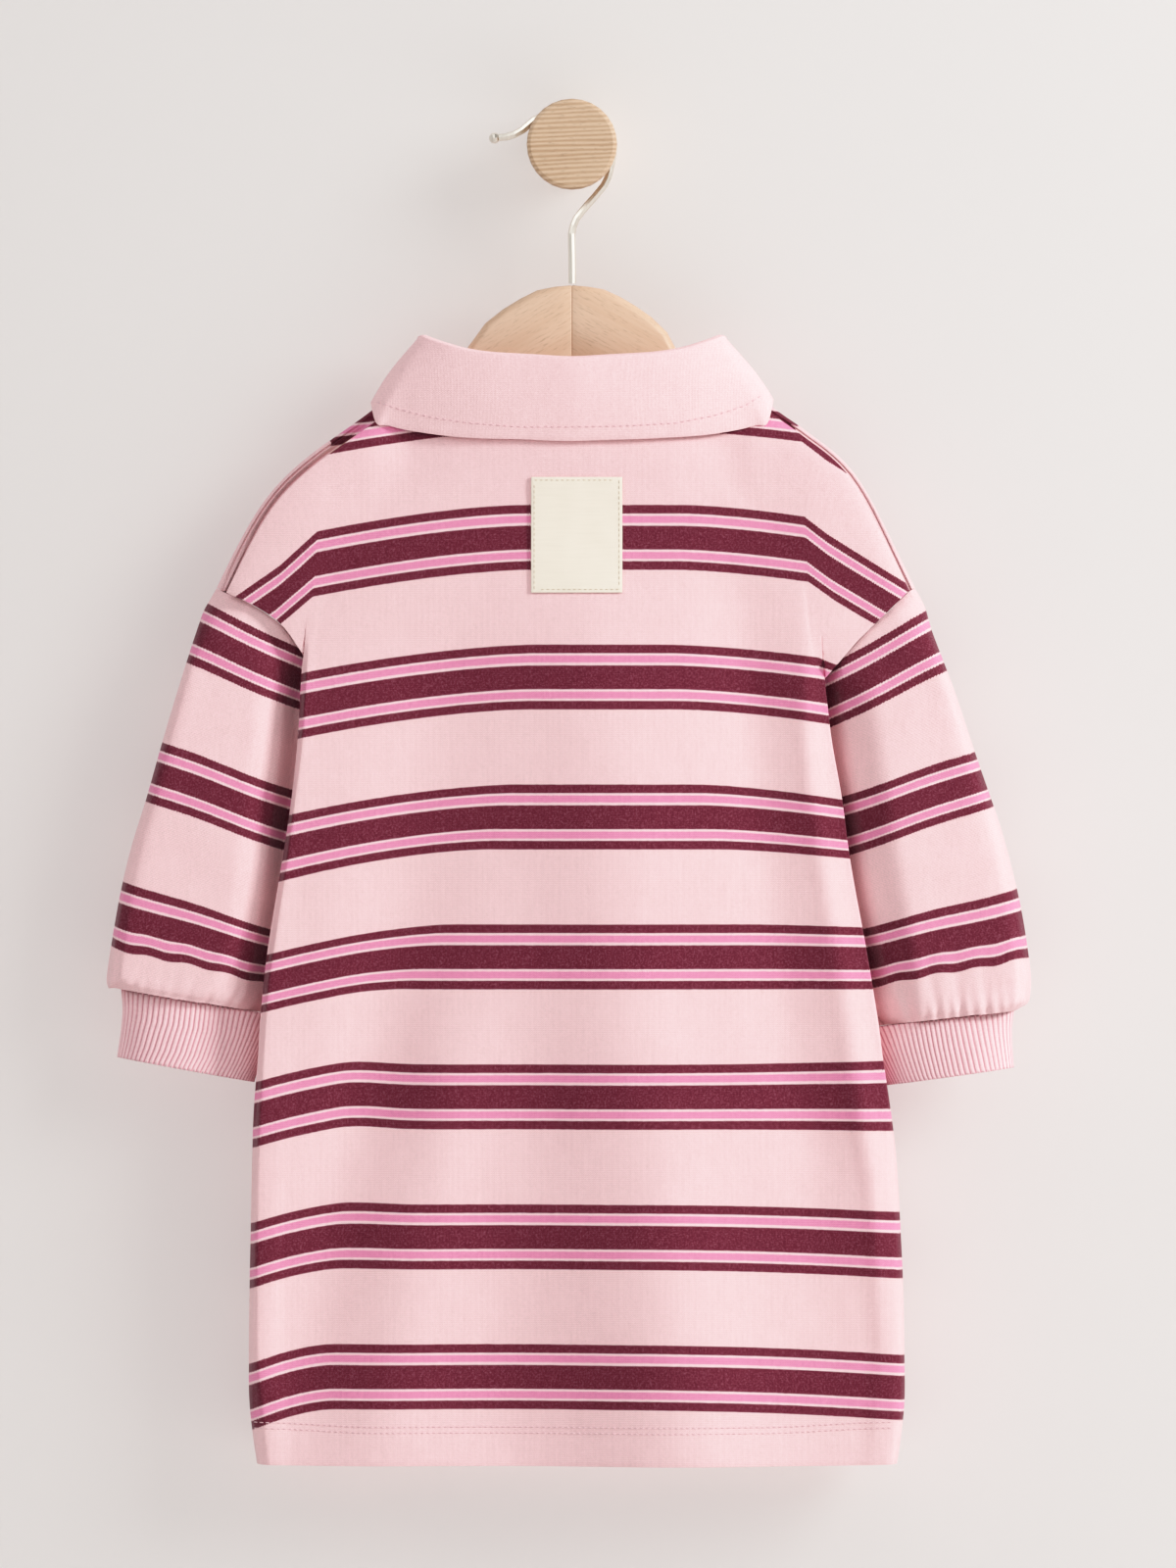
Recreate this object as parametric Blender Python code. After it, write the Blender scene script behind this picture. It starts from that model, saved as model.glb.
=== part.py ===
# A small child's striped sweatshirt dress, hanging with its back to the room on a wooden
# hanger, whose wire hook goes over a turned wall peg.
#
# Frame: the origin is the centre of the peg's flat back face, on the wall plane y = 0.
# +Z is up, the room is towards -Y, and +X is to the right for someone who faces the wall.
# The tables and functions work in millimetres, and the meshes are made in metres.

import bpy
import bmesh
import numpy as np
from math import cos, exp, hypot, pi, radians, sin
from mathutils import Vector
from mathutils.bvhtree import BVHTree

MM = 0.001

# ---------------------------------------------------------------- driving dimensions, mm
CLOTH = 1.6           # thickness of the sweatshirt cloth
RIB_CLOTH = 1.8       # thickness of the cuffs under their ribs
COLLAR_CLOTH = 1.8    # thickness of the collar
PATCH_CLOTH = 0.8     # thickness of the woven patch
SEAM = 0.3            # space between two pieces at a seam
MID = -45.0           # depth of the plane of the hook, the hanger and the side seams

HEM_HEIGHT = -619.9   # underside of the hem
NECK_RIDGE = 64.5     # half width of the neck where it crosses the shoulder
SLEEVE_ROUND = 40     # points around a sleeve
CUFF_RIBS = 64        # ribs around a cuff
RIB_RISE = 0.35       # how far a rib stands above and below the cuff's middle surface

HANGER_DEPTH = 11.0   # thickness of the hanger's wood
HANGER_ROUND = 5.0    # rounding of its edges
HOOK_WIRE = 3.5       # diameter of the hook's wire
PEG_STEM = 17.7       # radius of the peg's stem
PEG_HEAD = 21.2       # radius of the peg's head
PEG_HEAD_BACK = -49.5
PEG_HEAD_FRONT = -62.0


def table(names, *rows):
    """A table with named columns: one array for each name."""
    return {name: np.array(column, float) for name, column in zip(names.split(), zip(*rows))}


# Top line of each shoulder, from the middle of the neck out to the armhole.
SHOULDER = {
    "left": table(
        "out z",
        (0, -102), (40, -102.5), (62, -106.4), (80, -116.6), (107.3, -135.2), (131.6, -153.8),
        (147.2, -172.0), (157.0, -190.4), (166.4, -208.6)),
    "right": table(
        "out z",
        (0, -102), (40, -102.5), (62, -106.4), (80, -115.4), (110.0, -135.2), (131.6, -153.8),
        (142.6, -172.0), (151.4, -190.4), (160.6, -208.6)),
}

# How far the cloth stands from the middle plane, by the distance below the shoulder line.
DRAPE = table(
    "below out",
    (0, 0), (1, 3.0), (2.5, 5.0), (5, 6.8), (9, 8.4), (20, 11), (40, 15), (70, 19),
    (110, 22.5), (180, 25.5), (260, 27), (400, 27), (520, 25))

# The body's edge as the photograph shows it, its rounding, and the recess behind the edge
# in which the sleeve lies.
EDGE = table(
    "z left right turn drop recess",
    (-622, 146.5, 151.5, 20, 19, 0.6),
    (-604, 149.8, 154.8, 20, 19, 0.6),
    (-568, 150.8, 155.4, 20, 19, 0.6),
    (-484, 149.4, 152.2, 16, 17, 0.8),
    (-455, 148.5, 149.0, 12, 13, 3.0),
    (-432, 146.6, 145.5, 9, 8, 6.5),
    (-394, 143.9, 140.2, 8, 7, 10.0),
    (-333, 134.7, 129.5, 7, 5.5, 14.0),
    (-304, 130.5, 125.7, 6, 5, 15.5),
    (-283, 128.3, 121.8, 6, 4.5, 15.5),
    (-239, 125.5, 116.4, 6, 4.0, 13.0),
    (-221, 123.4, 113.4, 7, 3.0, 12.0),
    (-200, 121.2, 111.4, 7, 1.8, 12.0),
    (-183, 120.6, 110.2, 8, 1.0, 12.0),
    (-165, 119.6, 109.5, 9, 0.0, 12.0),
    (-140, 118.0, 109.0, 10, 0.0, 12.0))

# The long soft folds: each runs from its top to its bottom and is raised or sunk by rise.
BACK_FOLDS = table(
    "top_x top_z bottom_x bottom_z width rise",
    (10, -190, 44, -640, 34, 2.6),
    (-52, -185, -108, -500, 26, -2.8),
    (-44, -370, -97, -640, 20, 2.4),
    (-16, -390, -52, -640, 20, -2.4),
    (80, -190, 124, -520, 17, -3.2))
FRONT_FOLDS = table(
    "top_x top_z bottom_x bottom_z width rise",
    (-14, -200, -40, -640, 32, 2.6),
    (46, -210, 92, -560, 26, -2.6),
    (-70, -230, -104, -640, 20, -2.2),
    (30, -400, 58, -640, 18, 2.0))

# The back neckline and the front neckline, by the distance from the centre line.
BACK_NECK = table("out z", (0, -122), (20, -121.5), (39, -119.4), (53, -115.4), (64, -108.6))
FRONT_NECK = table("out z", (0, -151), (30, -142.5), (50, -126.5), (58, -113.5))

# The armhole seam from the armpit to the shoulder; depth is the distance from the middle
# plane. The last point, on the shoulder seam, is worked out from the shoulder line.
ARMHOLE = {
    "left": table(
        "out z depth",
        (112.8, -283, 0), (112.9, -274, 2.8), (114.2, -262, 4.4), (119.0, -250, 6.2),
        (127.2, -238.5, 9.0), (135.0, -227, 11.8), (149.5, -216.5, 10.5)),
    "right": table(
        "out z depth",
        (106.3, -283, 0), (106.5, -275, 2.8), (108.2, -266, 4.6), (113.0, -257.0, 6.2),
        (121.4, -248, 8.0), (136.0, -231.4, 11.8), (148.0, -219.9, 10.5)),
}

# Rings of each sleeve, from just under the armhole to the cuff: the outer and the inner
# end of the ring as seen from the room, its half depth, and how deep its gathers are.
SLEEVE = {
    "left": table(
        "outer outer_z inner inner_z depth gather",
        (175.6, -228.2, 118.2, -290.0, 14.5, 0.0),
        (183.9, -254.4, 120.6, -304.0, 16.5, 0.0),
        (192.6, -283.4, 123.8, -321.1, 18.5, 0.0),
        (200.0, -309.6, 127.3, -341.8, 20.0, 0.0),
        (206.0, -328.9, 130.6, -357.9, 20.5, 0.1),
        (212.0, -354.7, 134.8, -380.9, 20.5, 0.3),
        (216.1, -380.9, 139.9, -398.4, 19.0, 0.8),
        (216.6, -391.0, 141.9, -403.6, 17.0, 1.1),
        (212.0, -396.5, 145.1, -408.0, 14.0, 0.0)),
    "right": table(
        "outer outer_z inner inner_z depth gather",
        (168.7, -229.1, 113.0, -291.0, 14.5, 0.0),
        (177.9, -253.0, 115.8, -304.0, 16.5, 0.0),
        (187.1, -280.6, 119.3, -318.5, 18.5, 0.0),
        (196.3, -307.3, 123.4, -338.0, 20.0, 0.0),
        (202.3, -325.7, 126.6, -352.0, 20.5, 0.1),
        (209.7, -355.6, 131.4, -378.0, 20.5, 0.3),
        (213.3, -379.5, 137.5, -400.0, 19.0, 0.8),
        (214.4, -397.9, 140.6, -411.0, 17.0, 1.1),
        (208.0, -406.6, 142.0, -414.5, 14.0, 0.0)),
}

# Rings of each cuff, from the seam down.
CUFF = {
    "left": table(
        "outer outer_z inner inner_z depth",
        (212.0, -396.5, 145.1, -408.0, 14.0),
        (210.6, -406.6, 145.6, -418.5, 14.2),
        (211.5, -417.2, 147.0, -429.5, 14.8),
        (213.8, -428.7, 149.2, -440.5, 15.6)),
    "right": table(
        "outer outer_z inner inner_z depth",
        (208.0, -406.6, 142.0, -414.5, 14.0),
        (206.4, -415.0, 143.6, -424.0, 14.2),
        (206.6, -424.0, 145.6, -433.0, 14.8),
        (207.9, -433.6, 148.0, -442.0, 15.6)),
}

# The collar's fold line and its lower edge, by the angle around the neck from the centre
# back. The edge lies on the panels: lean is the side from which it meets them, from 0 on
# the back over 90 on the shoulder's top to 180 on the front.
COLLAR_FOLD = table(
    "angle out z reach",
    (0, 0, -100.7, 22.5), (35, 42, -98.0, 18.5), (60, 62, -93.0, 12.5), (80, 70.0, -90.0, 5.0),
    (95, 70.6, -91.0, -3.0), (125, 58.0, -104.0, -13.5), (155, 28.0, -126.5, -19.0),
    (180, 2.2, -141.5, -21.0))
COLLAR_EDGE = table(
    "angle out z lean",
    (0, 0, -139.4, 0), (35, 52, -137.6, 0), (60, 79, -134.0, 0), (76, 91.5, -131.0, 0),
    (90, 94.0, -131.0, 90), (104, 91.5, -132.5, 180), (130, 72.0, -149.0, 180),
    (160, 38.0, -168.0, 180), (180, 20.0, -176.0, 180))

FOLD_ROUND = 2.1      # radius of the collar's fold

PATCH_BOX = (-19.1, 23.7, -210.7, -156.4)   # left, right, bottom and top of the woven patch

# Upper and lower edge of a hanger arm inside the neck; further out it follows the shoulder.
HANGER_TOP = table(
    "out z", (0, -65.8), (12, -67), (30, -75.6), (44, -87), (50, -97), (56, -110), (60, -116),
    (68, -118))
HANGER_UNDER = table("out z", (0, -108), (30, -116), (60, -134), (90, -152), (112, -167))
HANGER_TIP = {"left": 117.0, "right": 107.5}
HANGER_CLEAR = CLOTH / 2 + 3.2    # from the shoulder's surface down to the wood
HANGER_SLOPE = radians(35)        # fall of the arms under the shoulders

# The hook, from the wood up, over the peg and out to its tip, as (x, z).
HOOK_SHANK = ((0.2, -65.0), (0.1, -52.0), (-0.1, -42.0), (1.6, -35.6), (6.0, -29.6),
              (12.0, -22.8), (16.6, -16.2))
HOOK_TIP = ((-17.9, 12.0), (-21.4, 8.6), (-25.2, 6.0), (-29.4, 4.2), (-34.4, 3.6))
HOOK_ARCH = PEG_STEM + SEAM + HOOK_WIRE / 2


# ---------------------------------------------------------------- curves through tables
def smooth(xs, ys, x):
    """A smooth curve through the points, which never swings past them."""
    x = min(max(x, xs[0]), xs[-1])
    i = min(max(int(np.searchsorted(xs, x)) - 1, 0), len(xs) - 2)
    steps = np.diff(xs)
    slopes = np.diff(ys) / steps

    def tangent(k):
        if k == 0 or k == len(xs) - 1:
            return slopes[0] if k == 0 else slopes[-1]
        before, after = slopes[k - 1], slopes[k]
        return 0.0 if before * after <= 0 else 2 * before * after / (before + after)

    h = steps[i]
    t = (x - xs[i]) / h
    return ((1 + 2 * t) * (1 - t) ** 2 * ys[i] + t * (1 - t) ** 2 * h * tangent(i)
            + t * t * (3 - 2 * t) * ys[i + 1] - t * t * (1 - t) * h * tangent(i + 1))


def read(rows, key, name, at):
    return smooth(rows[key], rows[name], at)


def ease(t):
    return t * t * (3 - 2 * t)


def along(points, share):
    """The point at a share of the length of a smooth curve through the points."""
    points = np.array(points, float)
    lengths = np.concatenate(([0], np.cumsum(np.linalg.norm(np.diff(points, axis=0), axis=1))))
    return np.array([smooth(lengths, points[:, k], share * lengths[-1]) for k in range(3)])


# ---------------------------------------------------------------- form of the body
def below_shoulder(side, out, z):
    """Distance from the shoulder line to a point under it."""
    line = SHOULDER[side]
    down = max(read(line, "out", "z", out) - z, 0.001)
    inward = max(smooth(-line["z"], line["out"], -z) - out, 0.001)
    if z < line["z"][-1]:
        inward = max(line["out"][-1] + 0.35 * (line["z"][-1] - z) - out, 0.001)
    return down * inward / hypot(down, inward)


def fold_rise(folds, x, z):
    total = 0.0
    for top_x, top_z, bottom_x, bottom_z, width, rise in zip(*folds.values()):
        share = (top_z - z) / (top_z - bottom_z)
        fade = ease(min(max(4 * share, 0), 1)) * ease(min(max(5 * (1 - share), 0), 1))
        centre = top_x + (bottom_x - top_x) * share
        total += rise * fade * exp(-((x - centre) / width) ** 2)
    return total


def reach(face, x, z):
    """How far the middle of the cloth stands from the middle plane, front or back."""
    side = "left" if x < 0 else "right"
    out = abs(x)
    depth = read(DRAPE, "below", "out", below_shoulder(side, out, z))
    depth += 7.5 * max(1 - (out / 72) ** 2, 0) * exp(-((z + 120) / 32) ** 2)
    depth -= 1.2 * (out / 130) ** 3 * ease(min(max((-150 - z) / 100, 0), 1))
    folds = BACK_FOLDS if face == "back" else FRONT_FOLDS
    return depth + fold_rise(folds, x, z)


# How far onto the back each shoulder seam lies, at the neck and at the sleeve.
SEAM_ON_BACK = {"left": (2.7, 5.0), "right": (2.7, 2.7)}


def seam_on_shoulder(side, line_out):
    """The shoulder seam beside the shoulder line: it lies on the back."""
    line = SHOULDER[side]
    step = 0.5
    z = read(line, "out", "z", line_out)
    slope = (read(line, "out", "z", min(line_out + step, line["out"][-1])) - z) / step
    if line_out + step > line["out"][-1]:
        slope = (z - read(line, "out", "z", line_out - step)) / step
    inward = np.array([slope, -1.0]) / hypot(slope, 1.0)
    at_neck, at_sleeve = SEAM_ON_BACK[side]
    offset = at_neck + (at_sleeve - at_neck) * ease(min((line_out - NECK_RIDGE) / 30, 1))
    return line_out + inward[0] * offset, z + inward[1] * offset


# Stations across half a panel, from the side seam or armhole to the centre line.
BEHIND_EDGE = (0.0, 0.32, 0.62, 1.0)
EDGE_TURN = (60, 30, 0)
FACE_OUTSIDE_NECK = 3
FACE_INSIDE_NECK = 4
SHOULDER_SHARES = (1.0, 0.85, 0.70, 0.545, 0.50, 0.46, 0.43, 0.30, 0.16, 0.0)
FRONT_NECK_OUT = (58.0, 48.0, 28.0, 0.0)
BACK_NECK_OUT = (54.0, 38.5, 20.0, 0.0)
NECK_STATION = len(SHOULDER_SHARES) - 1

LOWER_ROWS = 14
BACK_SHARES = (0.15, 0.30, 0.44, 0.57, 0.69, 0.79, 0.87, 0.93, 0.97, 1.0)
FRONT_SHARES = (0.16, 0.32, 0.47, 0.61, 0.73, 0.835, 0.92, 0.972, 1.0, 1.0)
ARMPIT_HEIGHT = -283.0


def face_share(side, station):
    """Where a station of the flat face lies, from 0 at the centre line to 1."""
    neck = NECK_RIDGE / (SHOULDER[side]["out"][-1] * 0.65)
    k = station - len(BEHIND_EDGE) - len(EDGE_TURN) + 1
    if k <= FACE_OUTSIDE_NECK:
        return 1 - (1 - neck) * k / FACE_OUTSIDE_NECK
    return neck * (1 - (k - FACE_OUTSIDE_NECK) / FACE_INSIDE_NECK)


def panel_top(face, side, station):
    """Upper end of a station: on the shoulder seam or on the neckline, as (out, z)."""
    if station <= NECK_STATION:
        tip = SHOULDER[side]["out"][-1]
        line_out = NECK_RIDGE + (tip - NECK_RIDGE) * SHOULDER_SHARES[station]
        return seam_on_shoulder(side, line_out)
    if face == "back":
        out = BACK_NECK_OUT[station - NECK_STATION - 1]
        return out, read(BACK_NECK, "out", "z", out)
    out = FRONT_NECK_OUT[station - NECK_STATION - 1]
    return out, read(FRONT_NECK, "out", "z", out)


def panel_ridge(side, station):
    """Where a station of the front panel crosses the shoulder line."""
    if station > NECK_STATION:
        return panel_top("front", side, station)
    line_out = NECK_RIDGE + (SHOULDER[side]["out"][-1] - NECK_RIDGE) * SHOULDER_SHARES[station]
    return line_out, read(SHOULDER[side], "out", "z", line_out)


def edge_point(face, side, station, z, top):
    """A point of the face or of its rounded edge at height z, as (out, depth)."""
    sign = -1 if side == "left" else 1
    inset = 0 if face == "back" else 5
    edge = read(EDGE, "z", side, z) - inset
    turn = read(EDGE, "z", "turn", z)
    drop = read(EDGE, "z", "drop", z)
    first_face = len(BEHIND_EDGE) + len(EDGE_TURN) - 1
    if station >= first_face:
        out, fall = face_share(side, station) * (edge - turn), 0.0
    else:
        turned = station - len(BEHIND_EDGE)
        angle = radians(90 if turned < 0 else EDGE_TURN[turned])
        out, fall = edge - turn * (1 - sin(angle)), drop * (1 - cos(angle))
    level = (z - ARMPIT_HEIGHT) / (top[1] - ARMPIT_HEIGHT)
    if level > 0:
        out += (top[0] - out) * level ** 4
    measured = min(out, edge - turn) if fall else out
    return out, reach(face, sign * measured, z) - fall


def armhole_points(face, side):
    rows = ARMHOLE[side]
    turn = 1 if face == "back" else -1
    points = [(o, z, turn * d) for o, z, d in zip(rows["out"], rows["z"], rows["depth"])]
    tip_out, tip_z = panel_top("back", side, 0)
    tip_depth = reach("back", tip_out * (-1 if side == "left" else 1), tip_z)
    if face == "front":
        line_out, line_z = panel_ridge(side, 0)
        points.append((line_out, line_z, 0.0))
    return points, (tip_out, tip_z, tip_depth)


def armhole(face, side):
    """The armhole seam at each row, from the armpit up, as (out, z, depth)."""
    points, tip = armhole_points(face, side)
    if face == "back":
        return [along(points + [tip], share) for share in (0.0,) + BACK_SHARES]
    shares = (0.0,) + FRONT_SHARES[:-1]
    return [along(points, share) for share in shares] + [np.array(tip)]


def panel_half(face, side):
    """Half a panel as rows of points (out, z, depth), from the seam to the centre line."""
    stations = len(BEHIND_EDGE) + len(EDGE_TURN) + FACE_OUTSIDE_NECK + FACE_INSIDE_NECK
    flip = 1 if face == "back" else -1
    sign = -1 if side == "left" else 1
    last_edge = len(BEHIND_EDGE) - 1
    tops = [panel_top(face, side, s) for s in range(stations)]
    rows = []

    for r in range(LOWER_ROWS + 1):
        z = HEM_HEIGHT + (ARMPIT_HEIGHT - HEM_HEIGHT) * r / LOWER_ROWS
        row = []
        for s in range(stations):
            lift = 2.2 * (1 - r / LOWER_ROWS) ** 12 * max(0, 1 - s / 9) ** 2
            out, depth = edge_point(face, side, max(s, last_edge), z, tops[s])
            if s < last_edge:
                seam_out = read(EDGE, "z", side, z) - read(EDGE, "z", "recess", z)
                seam_out += (ARMHOLE[side]["out"][0] - seam_out) * (r / LOWER_ROWS) ** 8
                out = seam_out + (out - seam_out) * ease(BEHIND_EDGE[s])
                depth *= sin(pi / 2 * BEHIND_EDGE[s])
            row.append((out, z + lift, flip * depth))
        rows.append(row)

    shares = BACK_SHARES if face == "back" else FRONT_SHARES
    seam = armhole(face, side)
    for r, share in enumerate(shares):
        row = []
        over_ridge = face == "front" and r == len(shares) - 1
        for s in range(stations):
            top = tops[s] if face == "back" else panel_ridge(side, s)
            if over_ridge:
                if s <= NECK_STATION:
                    out, z = tops[s]
                    row.append((out, z, reach("back", sign * out, z)))
                else:
                    out, z = top
                    row.append((out, z, flip * reach(face, sign * out, z)))
                continue
            held = s > NECK_STATION and face == "front"
            edge_top = tops[last_edge] if face == "back" else panel_ridge(side, last_edge)
            level = max(s, last_edge)
            drawn_down = max(0, 1 - (level - last_edge) / 8) * (1 - share ** 2)
            shown = share ** (1 + 0.1 * drawn_down) * (0.985 if held else 1.0)
            level_top = top if s >= last_edge else edge_top
            z = ARMPIT_HEIGHT + (level_top[1] - ARMPIT_HEIGHT) * shown
            out, depth = edge_point(face, side, level, z, level_top)
            depth *= flip
            seam_out, seam_z, seam_depth = seam[r + 1]
            tucked = ease(min(max((out - seam_out) / 8, 0), 1))
            if s <= last_edge:
                depth += flip * 1.2 * (1 - tucked) * ease(min(max((1 - share) * 5, 0), 1))
            if s == 0:
                out, z, depth = seam[r + 1]
            elif s < last_edge:
                w = BEHIND_EDGE[s]
                rounded = w + (sin(pi / 2 * w) - w) * tucked
                straight = np.array([
                    seam_out + (out - seam_out) * ease(w),
                    seam_z + (z - seam_z) * w,
                    seam_depth + (depth - seam_depth) * rounded])
                end = seam[-1] if face == "back" else seam[-2]
                edge_depth = flip * reach(face, sign * edge_top[0], edge_top[1])
                top_depth = flip * reach(face, sign * top[0], top[1])
                base = np.array([
                    end[0] + (edge_top[0] - end[0]) * ease(w),
                    end[1] + (edge_top[1] - end[1]) * w,
                    end[2] + (edge_depth - end[2]) * w])
                bow = np.array([top[0], top[1], top_depth]) - base
                out, z, depth = straight + bow * share ** 3
            row.append((out, z, depth))
        rows.append(row)
    return rows


def panel(face):
    """A whole panel as rows of points (x, y, z) in mm, from its left seam to its right."""
    left, right = panel_half(face, "left"), panel_half(face, "right")
    net = []
    for left_row, right_row in zip(left, right):
        row = [(-out, MID - depth, z) for out, z, depth in left_row]
        row += [(out, MID - depth, z) for out, z, depth in reversed(right_row[:-1])]
        net.append([Vector(p) for p in row])
    return net


# ---------------------------------------------------------------- form of the sleeves
def ring_point(outer, inner, depth, angle, egg):
    """A point (out, z, depth) of a flattened ring; angle 0 is its inner end."""
    middle, half = (outer + inner) / 2, (inner - outer) / 2
    place = middle + half * cos(angle)
    return np.array([place[0], place[1], depth * sin(angle) * (1 - egg * cos(angle))])


def sleeve(side):
    """A sleeve as rings of points (x, y, z) in mm, from the armhole to the cuff seam."""
    sign = -1 if side == "left" else 1
    seam = armhole("back", side) + armhole("front", side)[-2:0:-1]
    first = []
    for j in range(SLEEVE_ROUND):
        here, after = seam[j // 2], seam[(j // 2 + j % 2) % len(seam)]
        first.append((np.array(here) + np.array(after)) / 2)
    rings = [first]
    rows = SLEEVE[side]
    for k in range(len(rows["outer"])):
        outer = np.array([rows["outer"][k], rows["outer_z"][k]])
        inner = np.array([rows["inner"][k], rows["inner_z"][k]])
        ring = []
        for j in range(SLEEVE_ROUND):
            angle = 2 * pi * j / SLEEVE_ROUND
            depth = rows["depth"][k]
            gather = rows["gather"][k] * (-1) ** j * (0.65 + 0.35 * sin(2.3 * j + k))
            point = ring_point(outer, inner, depth, angle, max(0.72 - 0.1 * k, 0.3))
            away = np.array([-cos(angle) * 0.6, 0, sin(angle)])
            ring.append(point + away * gather)
        rings.append(ring)
    between = [(a + b) / 2 for a, b in zip(rings[0], rings[1])]
    lift = [3.0 * max(0.0, -cos(2 * pi * j / SLEEVE_ROUND)) for j in range(SLEEVE_ROUND)]
    between = [p + np.array([0.6 * u, 0.3 * u, 0]) for p, u in zip(between, lift)]
    rings.insert(1, between)
    return [[Vector((sign * out, MID - depth, z)) for out, z, depth in ring] for ring in rings]


# ---------------------------------------------------------------- walls
def key(point):
    return tuple(round(c, 3) for c in point)


def net_faces(rows, columns, closed):
    wrap = columns if closed else columns - 1
    for r in range(rows - 1):
        for c in range(wrap):
            yield (r, c), (r, (c + 1) % columns), (r + 1, (c + 1) % columns), (r + 1, c)


def shared_normals(groups):
    """Normals by place of nets that are sewn to each other, so that their walls meet.

    Each net counts once within its group and each group once, however large the faces are.
    """
    total = {}
    for nets in groups:
        together = {}
        for net, closed, turn in nets:
            own = {}
            for corners in net_faces(len(net), len(net[0]), closed):
                points = [net[r][c] for r, c in corners]
                normal = (points[2] - points[0]).cross(points[3] - points[1]) * turn
                for point in points:
                    own[key(point)] = own.get(key(point), Vector()) + normal
            for place, normal in own.items():
                together[place] = together.get(place, Vector()) + normal.normalized()
        for place, normal in together.items():
            total[place] = total.get(place, Vector()) + normal.normalized()
    return {place: normal.normalized() for place, normal in total.items()}


def new_object(name, mesh_from, colour, roughness, metallic=0.0):
    mesh = bpy.data.meshes.new(name)
    mesh_from.to_mesh(mesh)
    mesh_from.free()
    mesh.shade_smooth()
    mesh.set_sharp_from_angle(angle=radians(50))
    obj = bpy.data.objects.new(name, mesh)
    bpy.context.collection.objects.link(obj)
    material = bpy.data.materials.new(name + "_finish")
    material.use_nodes = True
    shader = material.node_tree.nodes["Principled BSDF"]
    shader.inputs["Base Color"].default_value = (*colour, 1.0)
    shader.inputs["Roughness"].default_value = roughness
    shader.inputs["Metallic"].default_value = metallic
    mesh.materials.append(material)
    return obj


def wall_mesh(outside, inside, closed):
    """A closed wall between two nets of points in mm."""
    bm = bmesh.new()
    rows, columns = len(outside), len(outside[0])
    skins = [[[bm.verts.new(Vector(p) * MM) for p in row] for row in net]
             for net in (outside, inside)]
    for corners in net_faces(rows, columns, closed):
        a, b, c, d = [Vector(outside[r][c]) for r, c in corners]
        start = 0 if (a - c).length <= (b - d).length else 1
        for half in ((0, 1, 2), (0, 2, 3)):
            picked = [corners[(start + k) % 4] for k in half]
            bm.faces.new([skins[0][r][c] for r, c in picked])
            bm.faces.new([skins[1][r][c] for r, c in reversed(picked)])
    rim = [[(0, c) for c in range(columns)], [(rows - 1, c) for c in range(columns)]]
    if closed:
        for line in rim:
            line.append(line[0])
    else:
        rim += [[(r, 0) for r in range(rows)], [(r, columns - 1) for r in range(rows)]]
    for line in rim:
        for (r0, c0), (r1, c1) in zip(line, line[1:]):
            bm.faces.new([skins[0][r0][c0], skins[0][r1][c1], skins[1][r1][c1], skins[1][r0][c0]])
    bmesh.ops.recalc_face_normals(bm, faces=bm.faces[:])
    bmesh.ops.triangulate(bm, faces=bm.faces[:])
    return bm


def square_to(way, tangent):
    """Direction of way once its share along the tangent is taken out."""
    tangent = tangent.normalized()
    return (way - tangent * way.dot(tangent)).normalized()


def drawn_in(net, normals, closed, seams):
    """A net whose edges at the named seams are drawn in by half a seam's space."""
    result = [list(row) for row in net]
    rows, columns = len(net), len(net[0])
    for r in range(rows):
        for c in range(columns):
            before, after = (c - 1) % columns, (c + 1) % columns
            if not closed:
                before, after = max(c - 1, 0), min(c + 1, columns - 1)
            along_row = net[r][after] - net[r][before]
            along_side = net[min(r + 1, rows - 1)][c] - net[max(r - 1, 0)][c]
            moves = []
            if r == 0 and "first" in seams:
                moves.append(square_to(net[1][c] - net[0][c], along_row))
            if r == rows - 1 and "last" in seams and seams["last"](c):
                moves.append(square_to(net[-2][c] - net[-1][c], along_row))
            if not closed and c in (0, columns - 1) and "sides" in seams:
                inner = net[r][1 if c == 0 else -2]
                moves.append(square_to(inner - net[r][c], along_side))
            for move in moves:
                across = max(move.cross(normals[r][c]).length, 0.3)
                result[r][c] = result[r][c] + move * SEAM / 2 / across
    return result


def cloth_wall(name, net, normals, closed, seams, thickness, colour):
    middle = drawn_in(net, normals, closed, seams)
    half = [[n * thickness / 2 for n in row] for row in normals]
    outside = [[p + h for p, h in zip(*rows)] for rows in zip(middle, half)]
    inside = [[p - h for p, h in zip(*rows)] for rows in zip(middle, half)]
    return new_object(name, wall_mesh(outside, inside, closed), colour, 0.9)


PINK = (0.84, 0.62, 0.65)
DEEP_PINK = (0.80, 0.55, 0.60)
CREAM = (0.82, 0.76, 0.67)
BEECH = (0.70, 0.48, 0.32)


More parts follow.
